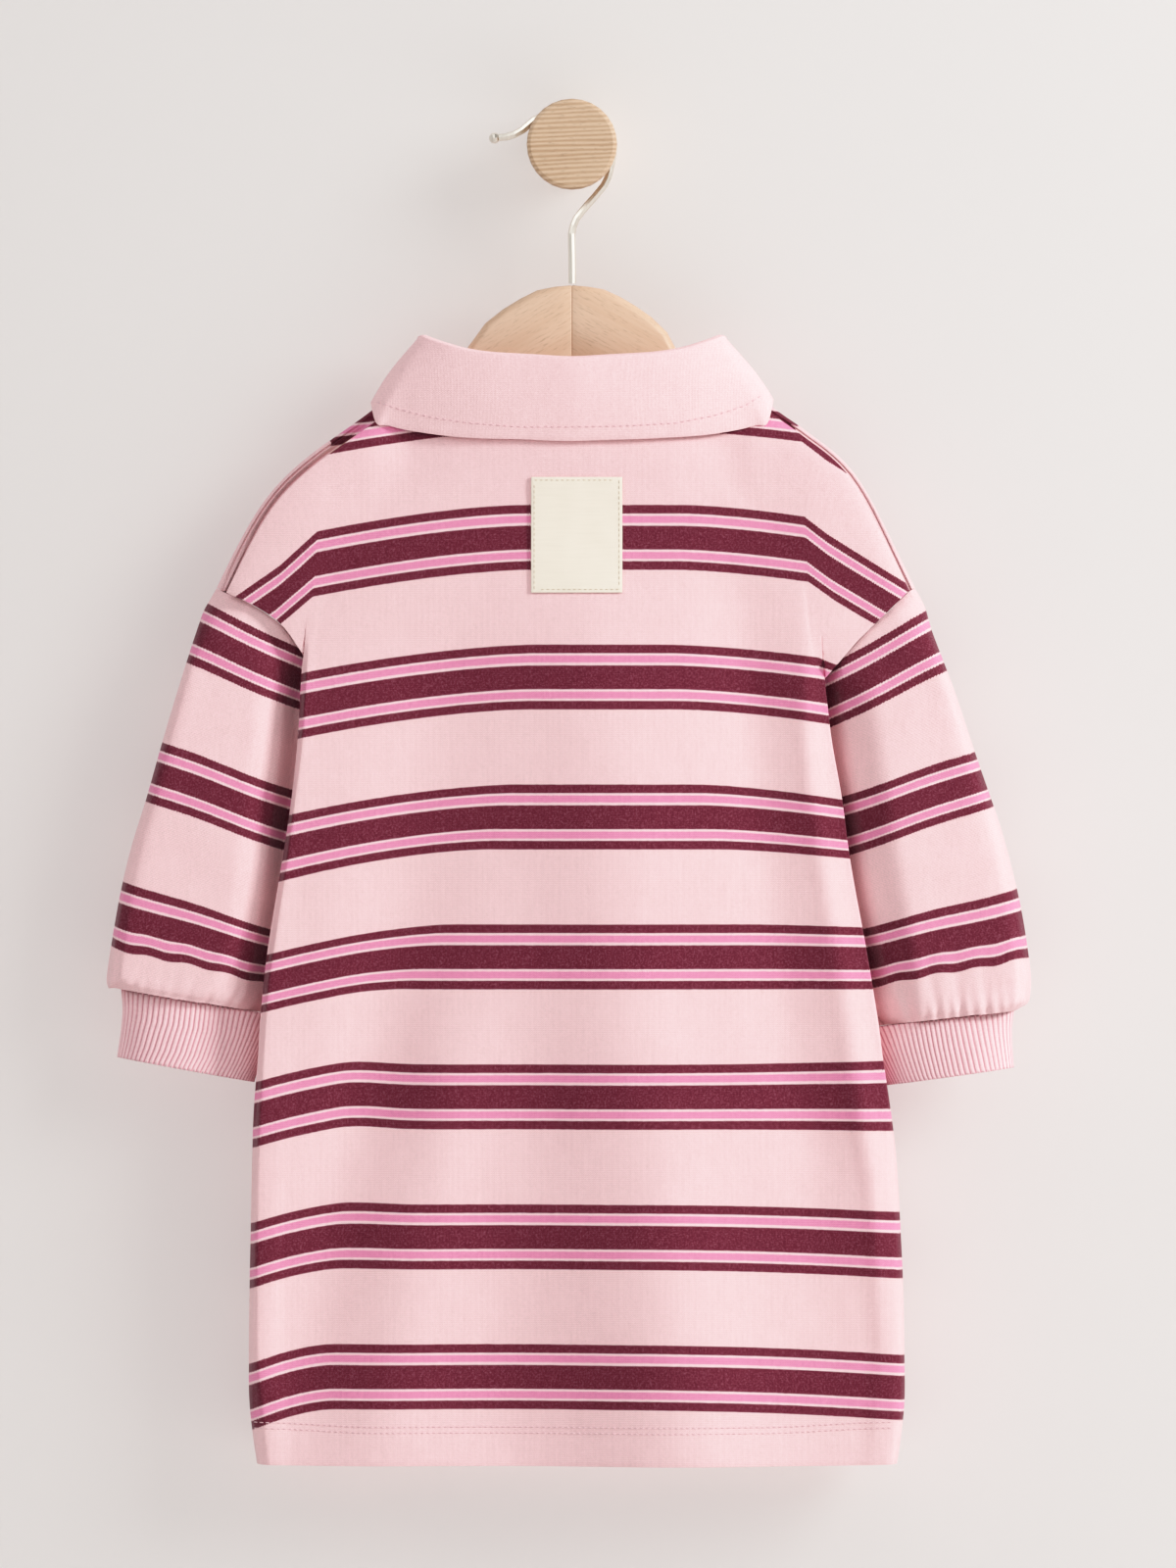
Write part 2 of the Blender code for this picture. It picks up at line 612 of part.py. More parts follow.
def make_panels_and_sleeves():
    back, front = panel("back"), panel("front")
    left, right = sleeve("left"), sleeve("right")
    place_normals = shared_normals([
        [(back, False, 1), (front, False, -1)], [(left, True, 1)], [(right, True, -1)]])
    last = len(back[0]) - 1
    for c in (0, last):
        armpit = place_normals[key(back[LOWER_ROWS][c])]
        place_normals[key(back[LOWER_ROWS][c])] = Vector((armpit.x, 0, armpit.z)).normalized()

    def level(normal):
        return Vector((normal.x, normal.y, 0)).normalized()

    for name, net in (("back_panel", back), ("front_panel", front)):
        normals = [[place_normals[key(p)] for p in row] for row in net]
        for c in range(NECK_STATION + 1, last - NECK_STATION):
            normals[-1][c] = level(normals[-3][c])

        def on_shoulder(c):
            return c <= NECK_STATION or c >= last - NECK_STATION

        cloth_wall(name, net, normals, False, {"sides": True, "last": on_shoulder}, CLOTH, PINK)

    for side, net in (("left", left), ("right", right)):
        normals = [[place_normals[key(p)] for p in row] for row in net]
        for j in range(1, SLEEVE_ROUND, 2):
            after = (j + 1) % SLEEVE_ROUND
            normals[0][j] = (normals[0][j - 1] + normals[0][after]) / 2
        axis = end_axis(SLEEVE[side], side)
        normals[-1] = [(n - axis * n.dot(axis)).normalized() for n in normals[-1]]
        net[-1] = [p - axis * SEAM / 2 for p in net[-1]]
        cloth_wall("sleeve_" + side, net, normals, True, {"first": True}, CLOTH, PINK)
    return back, front


def end_axis(rows, side, k=-1):
    """Direction across a ring, down the sleeve."""
    sign = -1 if side == "left" else 1
    across = Vector((sign * (rows["outer"][k] - rows["inner"][k]), 0,
                     rows["outer_z"][k] - rows["inner_z"][k])).normalized()
    axis = across.cross(Vector((0, 1, 0)))
    return axis if axis.z < 0 else -axis


def even_ring(outer, inner, depth, count, sign):
    """Evenly spaced points of a cuff's ring with their outward directions."""
    fine = 720
    curve = [ring_point(outer, inner, depth, 2 * pi * j / fine, 0.12) for j in range(fine + 1)]
    curve = [Vector((sign * p[0], MID - p[2], p[1])) for p in curve]
    lengths = np.concatenate(([0], np.cumsum([(b - a).length for a, b in zip(curve, curve[1:])])))
    centre = sum(curve[:-1], Vector()) / fine
    ring = []
    for j in range(count):
        at = lengths[-1] * j / count
        i = int(np.searchsorted(lengths, at, side="right")) - 1
        share = (at - lengths[i]) / (lengths[i + 1] - lengths[i])
        point = curve[i].lerp(curve[i + 1], share)
        tangent = (curve[i + 1] - curve[i]).normalized()
        away = (point - centre) - tangent * (point - centre).dot(tangent)
        ring.append((point, away.normalized()))
    return ring


def make_cuff(side):
    """A ribbed cuff: ribs on the outside, a plain wall inside."""
    rows = CUFF[side]
    sign = -1 if side == "left" else 1
    axis = end_axis(SLEEVE[side], side)
    around, per_inner = 2 * CUFF_RIBS, 4
    bm = bmesh.new()
    outside, inside = [], []
    for k in range(len(rows["outer"])):
        outer = np.array([rows["outer"][k], rows["outer_z"][k]])
        inner = np.array([rows["inner"][k], rows["inner_z"][k]])
        shift = axis * SEAM / 2 if k == 0 else Vector()
        ring = even_ring(outer, inner, rows["depth"][k], around, sign)
        skin = [p + shift + n * (RIB_CLOTH / 2 + RIB_RISE * (-1) ** j)
                for j, (p, n) in enumerate(ring)]
        lining = [p + shift - n * RIB_CLOTH / 2 for p, n in ring[::per_inner]]
        outside.append([bm.verts.new(p * MM) for p in skin])
        inside.append([bm.verts.new(p * MM) for p in lining])
    for skins in (outside, inside):
        for corners in net_faces(len(skins), len(skins[0]), True):
            bm.faces.new([skins[r][c] for r, c in corners])
    for end in (0, -1):
        for i in range(around // per_inner):
            after = (i + 1) % (around // per_inner)
            ribs = [outside[end][(i * per_inner + k) % around] for k in range(per_inner + 1)]
            bm.faces.new(ribs + [inside[end][after], inside[end][i]])
    bmesh.ops.recalc_face_normals(bm, faces=bm.faces[:])
    bmesh.ops.triangulate(bm, faces=bm.faces[:])
    new_object("cuff_" + side, bm, DEEP_PINK, 0.9)


# ---------------------------------------------------------------- collar
def on_cloth(tree, x, z, lean, off):
    """The place off the outermost cloth around (x, z), met from the side that lean gives."""
    way = Vector((0, -cos(radians(lean)), sin(radians(lean))))
    core = Vector((x, MID, z))
    farthest = 0.0
    for beside in (-4, 0, 4):
        for up in (-1.5, 0, 3):
            start = core + Vector((beside, 0, up * abs(way.y))) + way * 200
            hit = tree.ray_cast(start * MM, -way)
            if hit[0] is not None:
                farthest = max(farthest, (hit[0] / MM - core).dot(way))
    return core + way * (farthest + off)


def highest_under(tree, point, outward):
    """Height of the highest cloth under the foot of the collar's stand."""
    side = Vector((-outward.y, outward.x, 0))
    heights = []
    for across in (-COLLAR_CLOTH / 2, 0, COLLAR_CLOTH / 2):
        for beside in (-3, -1.5, 0, 1.5, 3):
            start = point + outward * across + side * beside
            start.z = 0
            hit = tree.ray_cast(start * MM, Vector((0, 0, -1)))
            if hit[0] is not None and abs(hit[0].z / MM - point.z) < 4:
                heights.append(hit[0].z / MM)
    return max(heights, default=point.z)


def neck_line(back, front):
    """The neck edge of both panels, from the centre front around the back, as points."""
    inner = range(NECK_STATION, len(back[0]) - NECK_STATION)
    behind = [back[-1][c] for c in inner]
    ahead = [front[-1][c] for c in inner]
    centre = len(ahead) // 2
    return ahead[centre::-1] + behind[1:-1] + ahead[:centre - 1:-1]


def make_collar(back, front, tree):
    """The collar: a stand on the neck edge, a rounded fold and a fall over the panels."""
    line = neck_line(back, front)
    stations = []
    for a, b in zip(line, line[1:]):
        stations += [a, (a + b) / 2]
    stations.append(line[-1])
    count = len(stations) - 1
    lengths = np.concatenate(([0], np.cumsum(
        [(b - a).length for a, b in zip(stations, stations[1:])])))
    angles = [360 * length / lengths[-1] - 180 for length in lengths]

    def fold_point(angle):
        turned, sign = abs(angle), 1 if angle > 0 else -1
        return Vector((sign * read(COLLAR_FOLD, "angle", "out", turned),
                       MID - read(COLLAR_FOLD, "angle", "reach", turned),
                       read(COLLAR_FOLD, "angle", "z", turned)))

    net = []
    for i, angle in enumerate(angles):
        turned, sign = abs(angle), 1 if angle > 0 else -1
        fold = fold_point(angle)
        ahead = fold_point(min(angle + 3, 180)) - fold_point(max(angle - 3, -180))
        outward = Vector((ahead.y, -ahead.x, 0)).normalized()
        foot = stations[i].copy()
        if i in (0, count):
            foot.x = sign * 1.2
        foot.z = highest_under(tree, foot, outward) + SEAM + 0.1
        edge = on_cloth(tree, sign * read(COLLAR_EDGE, "angle", "out", turned),
                        read(COLLAR_EDGE, "angle", "z", turned),
                        read(COLLAR_EDGE, "angle", "lean", turned),
                        COLLAR_CLOTH / 2 + 0.8 + 1.2 * sin(pi * turned / 180) ** 8)
        column = [foot, foot.lerp(fold - outward * FOLD_ROUND, 0.55)]
        for degrees in (180, 135, 90, 45, 0):
            turn = radians(degrees)
            column.append(fold + outward * FOLD_ROUND * cos(turn)
                          + Vector((0, 0, FOLD_ROUND * (sin(turn) - 1))))
        start = column[-1]
        for share in (0.35, 0.7, 1.0):
            column.append(start.lerp(edge, share) + outward * 1.6 * sin(pi * share))
        net.append(column)
    rows = [list(row) for row in net]
    normals = shared_normals([[(rows, False, 1)]])
    turned_out = normals[key(rows[count // 2][-1])]
    flip = 1 if turned_out.y < 0 else -1
    vectors = [[normals[key(p)] * flip for p in row] for row in rows]
    for row in vectors:
        row[0] = Vector((row[0].x, row[0].y, 0)).normalized()
    cloth_wall("collar", rows, vectors, False, {}, COLLAR_CLOTH, PINK)


# ---------------------------------------------------------------- patch, hanger, hook, peg
def make_patch(tree):
    """The woven patch, laid on the back panel's own surface."""
    left, right, bottom, top = PATCH_BOX
    columns, rows = 8, 10
    outside, inside = [], []
    for r in range(rows + 1):
        z = bottom + (top - bottom) * r / rows
        xs = [left + (right - left) * c / columns for c in range(columns + 1)]
        ys = [tree.ray_cast(Vector((x, -300, z)) * MM, Vector((0, 1, 0)))[0].y / MM - SEAM - 0.05
              for x in xs]
        inside.append([Vector((x, y, z)) for x, y in zip(xs, ys)])
        outside.append([Vector((x, y - PATCH_CLOTH, z)) for x, y in zip(xs, ys)])
    new_object("label_patch", wall_mesh(outside, inside, False), CREAM, 0.85)


def hanger_outline(side):
    """Outline of one arm as (out, z): along its top, round its tip and back underneath."""
    tip = HANGER_TIP[side]
    top = []
    for k in range(15):
        out = (tip - 3) * k / 14
        in_neck = read(HANGER_TOP, "out", "z", out)
        under_cloth = read(SHOULDER[side], "out", "z", out) - HANGER_CLEAR / cos(HANGER_SLOPE)
        share = ease(min(max((out - NECK_RIDGE + 2.5) / 10, 0), 1))
        top.append((out, in_neck + (under_cloth - in_neck) * share))
    under = [((tip - 5) * k / 6, read(HANGER_UNDER, "out", "z", (tip - 5) * k / 6))
             for k in range(6, -1, -1)]
    (x0, z0), (x1, z1) = top[-1], under[0]
    nose = []
    for k in range(1, 6):
        share = k / 6
        bow = sin(pi * share) ** 0.6 * 3.2
        nose.append((x0 + (x1 - x0) * share + bow, z0 + (z1 - z0) * share - bow * 0.1))
    return top + nose + under


def inset_outline(outline, inset):
    """The outline drawn in by inset, except across the joint at its two ends."""
    points = [Vector(p) for p in outline]
    result = []
    for i, point in enumerate(points):
        before, after = points[max(i - 1, 0)], points[min(i + 1, len(points) - 1)]
        way = (after - before).normalized()
        inward = Vector((way.y, -way.x))
        if i in (0, len(points) - 1):
            inward = Vector((0, -1 if i == 0 else 1))
        result.append(point + inward * inset)
    return result


def make_hanger_arm(side):
    """One arm of the hanger: its outline in layers through the wood, with round edges."""
    sign = -1 if side == "left" else 1
    outline = [(max(out, SEAM / 2), z) for out, z in hanger_outline(side)]
    flat = HANGER_DEPTH / 2 - HANGER_ROUND
    layers = []
    for degrees in (0, 35, 65, 90):
        turn = radians(degrees)
        layers.append((0.7 * HANGER_ROUND * (1 - sin(turn)), -flat - HANGER_ROUND * cos(turn)))
    layers += [(inset, -depth) for inset, depth in reversed(layers)]
    bm = bmesh.new()
    rings = [[bm.verts.new(Vector((sign * out, MID + depth, z)) * MM)
              for out, z in inset_outline(outline, inset)] for inset, depth in layers]
    for corners in net_faces(len(rings), len(outline), True):
        bm.faces.new([rings[r][c] for r, c in corners])
    bm.faces.new(rings[0])
    bm.faces.new(rings[-1])
    bmesh.ops.recalc_face_normals(bm, faces=bm.faces[:])
    bmesh.ops.triangulate(bm, faces=bm.faces[:])
    new_object("hanger_arm_" + side, bm, BEECH, 0.55)


def hook_route():
    """Points of the hook's wire as (x, z, radius share), the last of them round its ball."""
    arch = []
    for k in range(13):
        angle = radians(-12 + 152 * k / 12)
        arch.append((HOOK_ARCH * cos(angle), HOOK_ARCH * sin(angle)))
    corners = list(HOOK_SHANK) + arch + list(HOOK_TIP)
    points = np.array([(x, 0, z) for x, z in corners])
    route = [along(points, k / 36) for k in range(37)]
    return [(p[0], p[2]) for p in route]


def make_hook():
    route = hook_route()
    curve = bpy.data.curves.new("hanger_hook", "CURVE")
    curve.dimensions = "3D"
    curve.bevel_depth = HOOK_WIRE / 2 * MM
    curve.bevel_resolution = 2
    curve.use_fill_caps = True
    end, before = np.array(route[-1]), np.array(route[-2])
    way = (end - before) / np.linalg.norm(end - before)
    ball = 2.6
    beads = []
    for k in range(7):
        angle = pi * (0.22 + 0.73 * k / 6)
        beads.append((end + way * ball * (0.77 - cos(angle)), sin(angle) * ball / (HOOK_WIRE / 2)))
    points = [(x, z, 1.0) for x, z in route[:-1]]
    points += [(place[0], place[1], share) for place, share in beads]
    spline = curve.splines.new("POLY")
    spline.points.add(len(points) - 1)
    for point, (x, z, share) in zip(spline.points, points):
        point.co = (x * MM, MID * MM, z * MM, 1)
        point.radius = share
    obj = bpy.data.objects.new("hanger_hook", curve)
    bpy.context.collection.objects.link(obj)
    material = bpy.data.materials.new("hanger_hook_finish")
    material.use_nodes = True
    shader = material.node_tree.nodes["Principled BSDF"]
    shader.inputs["Base Color"].default_value = (0.62, 0.57, 0.50, 1.0)
    shader.inputs["Roughness"].default_value = 0.3
    shader.inputs["Metallic"].default_value = 1.0
    curve.materials.append(material)


def make_peg():
    """The turned peg: a stem on the wall and a wider round head."""
    profile = [(0, 0), (PEG_STEM, 0), (PEG_STEM, PEG_HEAD_BACK + 1.5),
               (PEG_STEM + 1.5, PEG_HEAD_BACK), (PEG_HEAD - 1.2, PEG_HEAD_BACK)]
    corner = 1.8
    profile.append((PEG_HEAD, PEG_HEAD_BACK - 1.2))
    for degrees in (0, 45, 90):
        turn = radians(degrees)
        profile.append((PEG_HEAD - corner + corner * cos(turn),
                        PEG_HEAD_FRONT + corner - corner * sin(turn)))
    profile.append((0, PEG_HEAD_FRONT))
    bm = bmesh.new()
    verts = [bm.verts.new(Vector((radius, y, 0)) * MM) for radius, y in profile]
    edges = [bm.edges.new(pair) for pair in zip(verts, verts[1:])]
    bmesh.ops.spin(bm, geom=verts + edges, cent=(0, 0, 0), axis=(0, 1, 0), angle=2 * pi,
                   steps=28, use_merge=True)
    bmesh.ops.remove_doubles(bm, verts=bm.verts[:], dist=1e-5)
    bmesh.ops.recalc_face_normals(bm, faces=bm.faces[:])
    bmesh.ops.triangulate(bm, faces=bm.faces[:])
    new_object("wall_peg", bm, BEECH, 0.55)


def main():
    for obj in list(bpy.data.objects):
        bpy.data.objects.remove(obj, do_unlink=True)
    back, front = make_panels_and_sleeves()
    make_cuff("left")
    make_cuff("right")
    both = bmesh.new()
    for name in ("back_panel", "front_panel"):
        both.from_mesh(bpy.data.objects[name].data)
    panels = BVHTree.FromBMesh(both)
    both.free()
    make_collar(back, front, panels)
    make_patch(panels)
    make_hanger_arm("left")
    make_hanger_arm("right")
    make_hook()
    make_peg()


main()
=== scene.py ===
import bpy
import bmesh
import numpy as np
from math import atan2, cos, exp, hypot, pi, radians, sin
from mathutils import Matrix, Vector, noise
from mathutils.bvhtree import BVHTree


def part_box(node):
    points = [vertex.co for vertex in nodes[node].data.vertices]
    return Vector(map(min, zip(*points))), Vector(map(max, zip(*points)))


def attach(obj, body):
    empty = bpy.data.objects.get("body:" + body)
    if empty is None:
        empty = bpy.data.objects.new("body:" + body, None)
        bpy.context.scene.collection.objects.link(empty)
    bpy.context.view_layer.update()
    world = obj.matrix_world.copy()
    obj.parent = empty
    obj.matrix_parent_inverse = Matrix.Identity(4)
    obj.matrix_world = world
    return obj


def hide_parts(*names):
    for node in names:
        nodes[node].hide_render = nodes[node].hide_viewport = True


mm = 0.001
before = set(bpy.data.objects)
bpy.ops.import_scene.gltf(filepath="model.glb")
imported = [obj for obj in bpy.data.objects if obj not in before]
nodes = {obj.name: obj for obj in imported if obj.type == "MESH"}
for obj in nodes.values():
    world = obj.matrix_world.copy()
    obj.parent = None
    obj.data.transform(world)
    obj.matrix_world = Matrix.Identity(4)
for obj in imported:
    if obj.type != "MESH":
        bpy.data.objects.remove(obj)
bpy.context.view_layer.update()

# The photograph's frame: the peg's centre is at this pixel, and one pixel is this many mm.
photo = {"width": 1200, "height": 1600, "pegX": 583.5, "pegY": 147.0, "scale": 0.46}
midPlane = -45.0          # depth of the hook, the hanger and the side seams


def fromPhoto(x, y):
    # The place (x, z) in mm that a pixel of the photograph shows.
    return (x - photo["pegX"]) * photo["scale"], (photo["pegY"] - y) * photo["scale"]


def smoothStep(low, high, value):
    t = min(max((value - low) / (high - low), 0.0), 1.0)
    return t * t * (3 - 2 * t)


def through(xs, ys, x):
    # A value on the line through the points of a short table.
    return float(np.interp(x, xs, ys))


def wander(x, y, z, size, seed=0.0):
    # Soft noise from -1 to 1 with features of about the given size in mm.
    return noise.noise(Vector((x / size + seed, y / size - seed, z / size + 2 * seed)))


def makeCamera():
    settings = {"distance": 6500.0, "cloth": -58.0}
    centreX, centreZ = fromPhoto(photo["width"] / 2, photo["height"] / 2)
    data = bpy.data.cameras.new("camera")
    data.sensor_width = 36.0
    data.lens = data.sensor_width * settings["distance"] / (photo["height"] * photo["scale"])
    camera = bpy.data.objects.new("camera", data)
    camera.location = Vector((centreX, settings["cloth"] - settings["distance"], centreZ)) * mm
    camera.rotation_euler = (pi / 2, 0, 0)
    bpy.context.scene.collection.objects.link(camera)
    bpy.context.scene.camera = camera


def makeRoom():
    # A pale wall behind the peg that sweeps into a pale floor; seen from behind it is clear.
    room = {"width": 7.0, "height": 2.6, "floor": -1.25, "bend": 0.5, "front": -4.5}
    profile = [(0.0, room["height"]), (0.0, room["floor"] + room["bend"])]
    for k in range(1, 13):
        turn = pi / 2 * k / 12
        profile.append((-room["bend"] * (1 - cos(turn)), room["floor"] + room["bend"] * (1 - sin(turn))))
    profile.append((room["front"], room["floor"]))
    bm = bmesh.new()
    verts = [bm.verts.new((-room["width"] / 2, y, z)) for y, z in profile]
    edges = [bm.edges.new(pair) for pair in zip(verts, verts[1:])]
    made = bmesh.ops.extrude_edge_only(bm, edges=edges)["geom"]
    moved = [v for v in made if isinstance(v, bmesh.types.BMVert)]
    bmesh.ops.translate(bm, verts=moved, vec=(room["width"], 0, 0))
    bmesh.ops.recalc_face_normals(bm, faces=bm.faces[:])
    upright = max(bm.faces, key=lambda face: abs(face.normal.y))      # the wall, not the floor
    if upright.normal.y > 0:
        bmesh.ops.reverse_faces(bm, faces=bm.faces[:])
    for face in bm.faces:
        face.smooth = True
    mesh = bpy.data.meshes.new("roomWall")
    bm.to_mesh(mesh)
    bm.free()
    wall = bpy.data.objects.new("roomWall", mesh)
    bpy.context.scene.collection.objects.link(wall)
    mesh.materials.append(wallMaterial())
    return wall


def addLight(name, place, target, size, power, colour):
    data = bpy.data.lights.new(name, "AREA")
    data.shape = "RECTANGLE"
    data.size, data.size_y = size
    data.energy = power
    data.color = colour
    light = bpy.data.objects.new(name, data)
    light.location = place
    way = Vector(target) - Vector(place)
    light.rotation_euler = way.to_track_quat("-Z", "Y").to_euler()
    bpy.context.scene.collection.objects.link(light)
    return light


def shineOn(light, name, objects, blockers=None):
    # A light that reaches only the given objects, and is held back only by the blockers.
    reached = bpy.data.collections.new(name)
    for obj in objects:
        reached.objects.link(obj)
    light.light_linking.receiver_collection = reached
    if blockers is not None:
        held = bpy.data.collections.new(name + "Blockers")
        for obj in blockers:
            held.objects.link(obj)
        light.light_linking.blocker_collection = held


def makeLights(lit, wall):
    # A softbox from the right models the cloth, a large one in front fills it, and two wide
    # ones wash the wall: one of them lets the dress cast a faint shadow.
    middle = (0.0, -0.06, -0.30)
    key = addLight("softboxRight", (4.2, -2.1, 1.6), middle, (1.1, 1.1), 248.0, (1.0, 0.99, 0.985))
    fill = addLight("softboxFront", (-1.3, -2.95, 1.4), middle, (2.6, 2.2), 46.0, (1.0, 1.0, 1.0))
    wash = addLight("wallWash", (2.2, -2.5, 1.6), middle, (2.6, 2.2), 102.0, (1.0, 0.995, 0.99))
    shade = addLight("wallShade", (2.3, -2.3, 0.9), middle, (1.6, 1.4), 24.0, (1.0, 0.995, 0.99))
    shineOn(key, "dressAndHanger", lit)
    shineOn(fill, "dressFilled", lit)
    shineOn(wash, "wallOnly", [wall], [wall])
    shineOn(shade, "wallShaded", [wall])
    world = bpy.data.worlds.new("studio")
    world.use_nodes = True
    background = world.node_tree.nodes["Background"]
    background.inputs["Color"].default_value = (1.0, 0.99, 0.985, 1.0)
    background.inputs["Strength"].default_value = 0.30
    scene = bpy.context.scene
    scene.world = world
    scene.view_settings.view_transform = "Standard"


def softenHighlights():
    # The photograph's response: pale tones roll off gently instead of burning out.
    curve = {"white": 1.5, "points": ((0.05, 0.037), (0.15, 0.136), (0.35, 0.358), (0.6, 0.6),
                                      (0.9, 0.83), (1.2, 0.955))}
    view = bpy.context.scene.view_settings
    view.use_curve_mapping = True
    mapping = view.curve_mapping
    mapping.white_level = (curve["white"],) * 3
    for light, shown in curve["points"]:
        mapping.curves[3].points.new(light / curve["white"], shown)
    mapping.update()


def toLinear(colour):
    # An sRGB colour, 0 to 255, as the shader wants it.
    parts = [c / 255 for c in colour]
    return tuple(c / 12.92 if c <= 0.04045 else ((c + 0.055) / 1.055) ** 2.4 for c in parts) + (1.0,)


def newMaterial(name, roughness):
    material = bpy.data.materials.new(name)
    material.use_nodes = True
    shader = material.node_tree.nodes["Principled BSDF"]
    shader.inputs["Roughness"].default_value = roughness
    return material, material.node_tree, shader


def addNode(tree, kind, values=(), **settings):
    node = tree.nodes.new(kind)
    for key, value in settings.items():
        setattr(node, key, value)
    for socket, value in dict(values).items():
        if isinstance(value, bpy.types.NodeSocket):
            tree.links.new(value, node.inputs[socket])
        else:
            node.inputs[socket].default_value = value
    return node


def doMath(tree, operation, a, b=0.0, clamp=False):
    node = addNode(tree, "ShaderNodeMath", {0: a, 1: b}, operation=operation, use_clamp=clamp)
    return node.outputs[0]


def around(tree, value, middle, strength, clamp=False):
    return doMath(tree, "MULTIPLY", doMath(tree, "SUBTRACT", value, middle), strength, clamp)


def addNoise(tree, place, scale=1.0, detail=2.0, roughness=0.5, distortion=0.0):
    node = addNode(tree, "ShaderNodeTexNoise", {"Vector": place, "Scale": scale, "Detail": detail,
                                                "Roughness": roughness, "Distortion": distortion})
    return node.outputs["Fac"]


def stretch(tree, place, scale):
    return addNode(tree, "ShaderNodeMapping", {"Vector": place, "Scale": scale}).outputs[0]


def objectPlace(tree):
    return addNode(tree, "ShaderNodeTexCoord").outputs["Object"]


def mixColours(tree, share, a, b, blend="MIX"):
    node = tree.nodes.new("ShaderNodeMix")
    node.data_type, node.blend_type = "RGBA", blend
    for socket, value in ((0, share), (6, a), (7, b)):
        if isinstance(value, bpy.types.NodeSocket):
            tree.links.new(value, node.inputs[socket])
        else:
            node.inputs[socket].default_value = value
    return node.outputs[2]


def addRamp(tree, factor, stops, interpolation="LINEAR"):
    node = tree.nodes.new("ShaderNodeValToRGB")
    node.color_ramp.interpolation = interpolation
    elements = node.color_ramp.elements
    while len(elements) > 1:
        elements.remove(elements[-1])
    elements[0].position, elements[0].color = stops[0]
    for position, colour in stops[1:]:
        element = elements.new(position)
        element.color = colour
    tree.links.new(factor, node.inputs[0])
    return node.outputs[0]


def newGroup(name, inputs, outputs):
    group = bpy.data.node_groups.new(name, "ShaderNodeTree")
    for label, kind, value in inputs:
        socket = group.interface.new_socket(label, in_out="INPUT", socket_type="NodeSocket" + kind)
        if value is not None:
            socket.default_value = value
    for label, kind in outputs:
        group.interface.new_socket(label, in_out="OUTPUT", socket_type="NodeSocket" + kind)
    return group, group.nodes.new("NodeGroupInput"), group.nodes.new("NodeGroupOutput")


def giveRelief(tree, shader, height, strength, distance):
    relief = addNode(tree, "ShaderNodeBump", {"Height": height, "Strength": strength,
                                              "Distance": distance})
    tree.links.new(relief.outputs[0], shader.inputs["Normal"])


def makeKnitGroup():
    # Stocking stitch: columns of V-shaped loops, with the uneven fuzz of brushed cotton.
    group, given, result = newGroup(
        "knitLoops",
        [("Along", "Float", 0.0), ("Up", "Float", 0.0), ("Wale", "Float", 1.1),
         ("Course", "Float", 0.85)],
        [("Height", "Float"), ("Tone", "Float"), ("Zigzag", "Float"), ("FuzzSheen", "Float")])
    wale = doMath(group, "DIVIDE", given.outputs["Along"], given.outputs["Wale"])
    column = doMath(group, "FRACT", wale)
    across = doMath(group, "ABSOLUTE", doMath(group, "SUBTRACT", column, 0.5))
    course = doMath(group, "DIVIDE", given.outputs["Up"], given.outputs["Course"])
    leaning = doMath(group, "ADD", course, doMath(group, "MULTIPLY", across, 1.2))
    loop = doMath(group, "FRACT", leaning)
    bump = doMath(group, "SINE", doMath(group, "MULTIPLY", loop, pi))
    ridge = doMath(group, "SINE", doMath(group, "MULTIPLY", doMath(group, "MULTIPLY", across, 2.0), pi))
    height = doMath(group, "MULTIPLY", doMath(group, "ADD", bump, 0.4),
                    doMath(group, "ADD", doMath(group, "MULTIPLY", ridge, 0.75), 0.25))
    place = objectPlace(group)
    fuzz = addNoise(group, place, 1300.0, 3.0, 0.65)
    cloudy = addNoise(group, place, 60.0, 3.0, 0.6)
    streaks = addNoise(group, stretch(group, place, (800.0, 800.0, 70.0)))
    # Painted shade: the tone is darker where the loops are low, in their hollows.
    grooveShade = around(group, height, 0.7, 0.2)
    speck = around(group, fuzz, 0.5, 0.5)
    streak = around(group, streaks, 0.5, 0.13)
    drift = around(group, cloudy, 0.5, 0.07)
    tone = doMath(group, "ADD", doMath(group, "ADD", grooveShade, speck),
                  doMath(group, "ADD", doMath(group, "ADD", drift, streak), 1.0))
    fuzzy = doMath(group, "ADD", height, doMath(group, "MULTIPLY", fuzz, 0.9))
    # Flecks of fuzz: partly the fibres' own tone, partly painted sheen.
    group.links.new(around(group, fuzz, 0.47, 0.5, True), result.inputs["FuzzSheen"])
    group.links.new(fuzzy, result.inputs["Height"])
    group.links.new(tone, result.inputs["Tone"])
    group.links.new(doMath(group, "SUBTRACT", across, 0.25), result.inputs["Zigzag"])
    return group


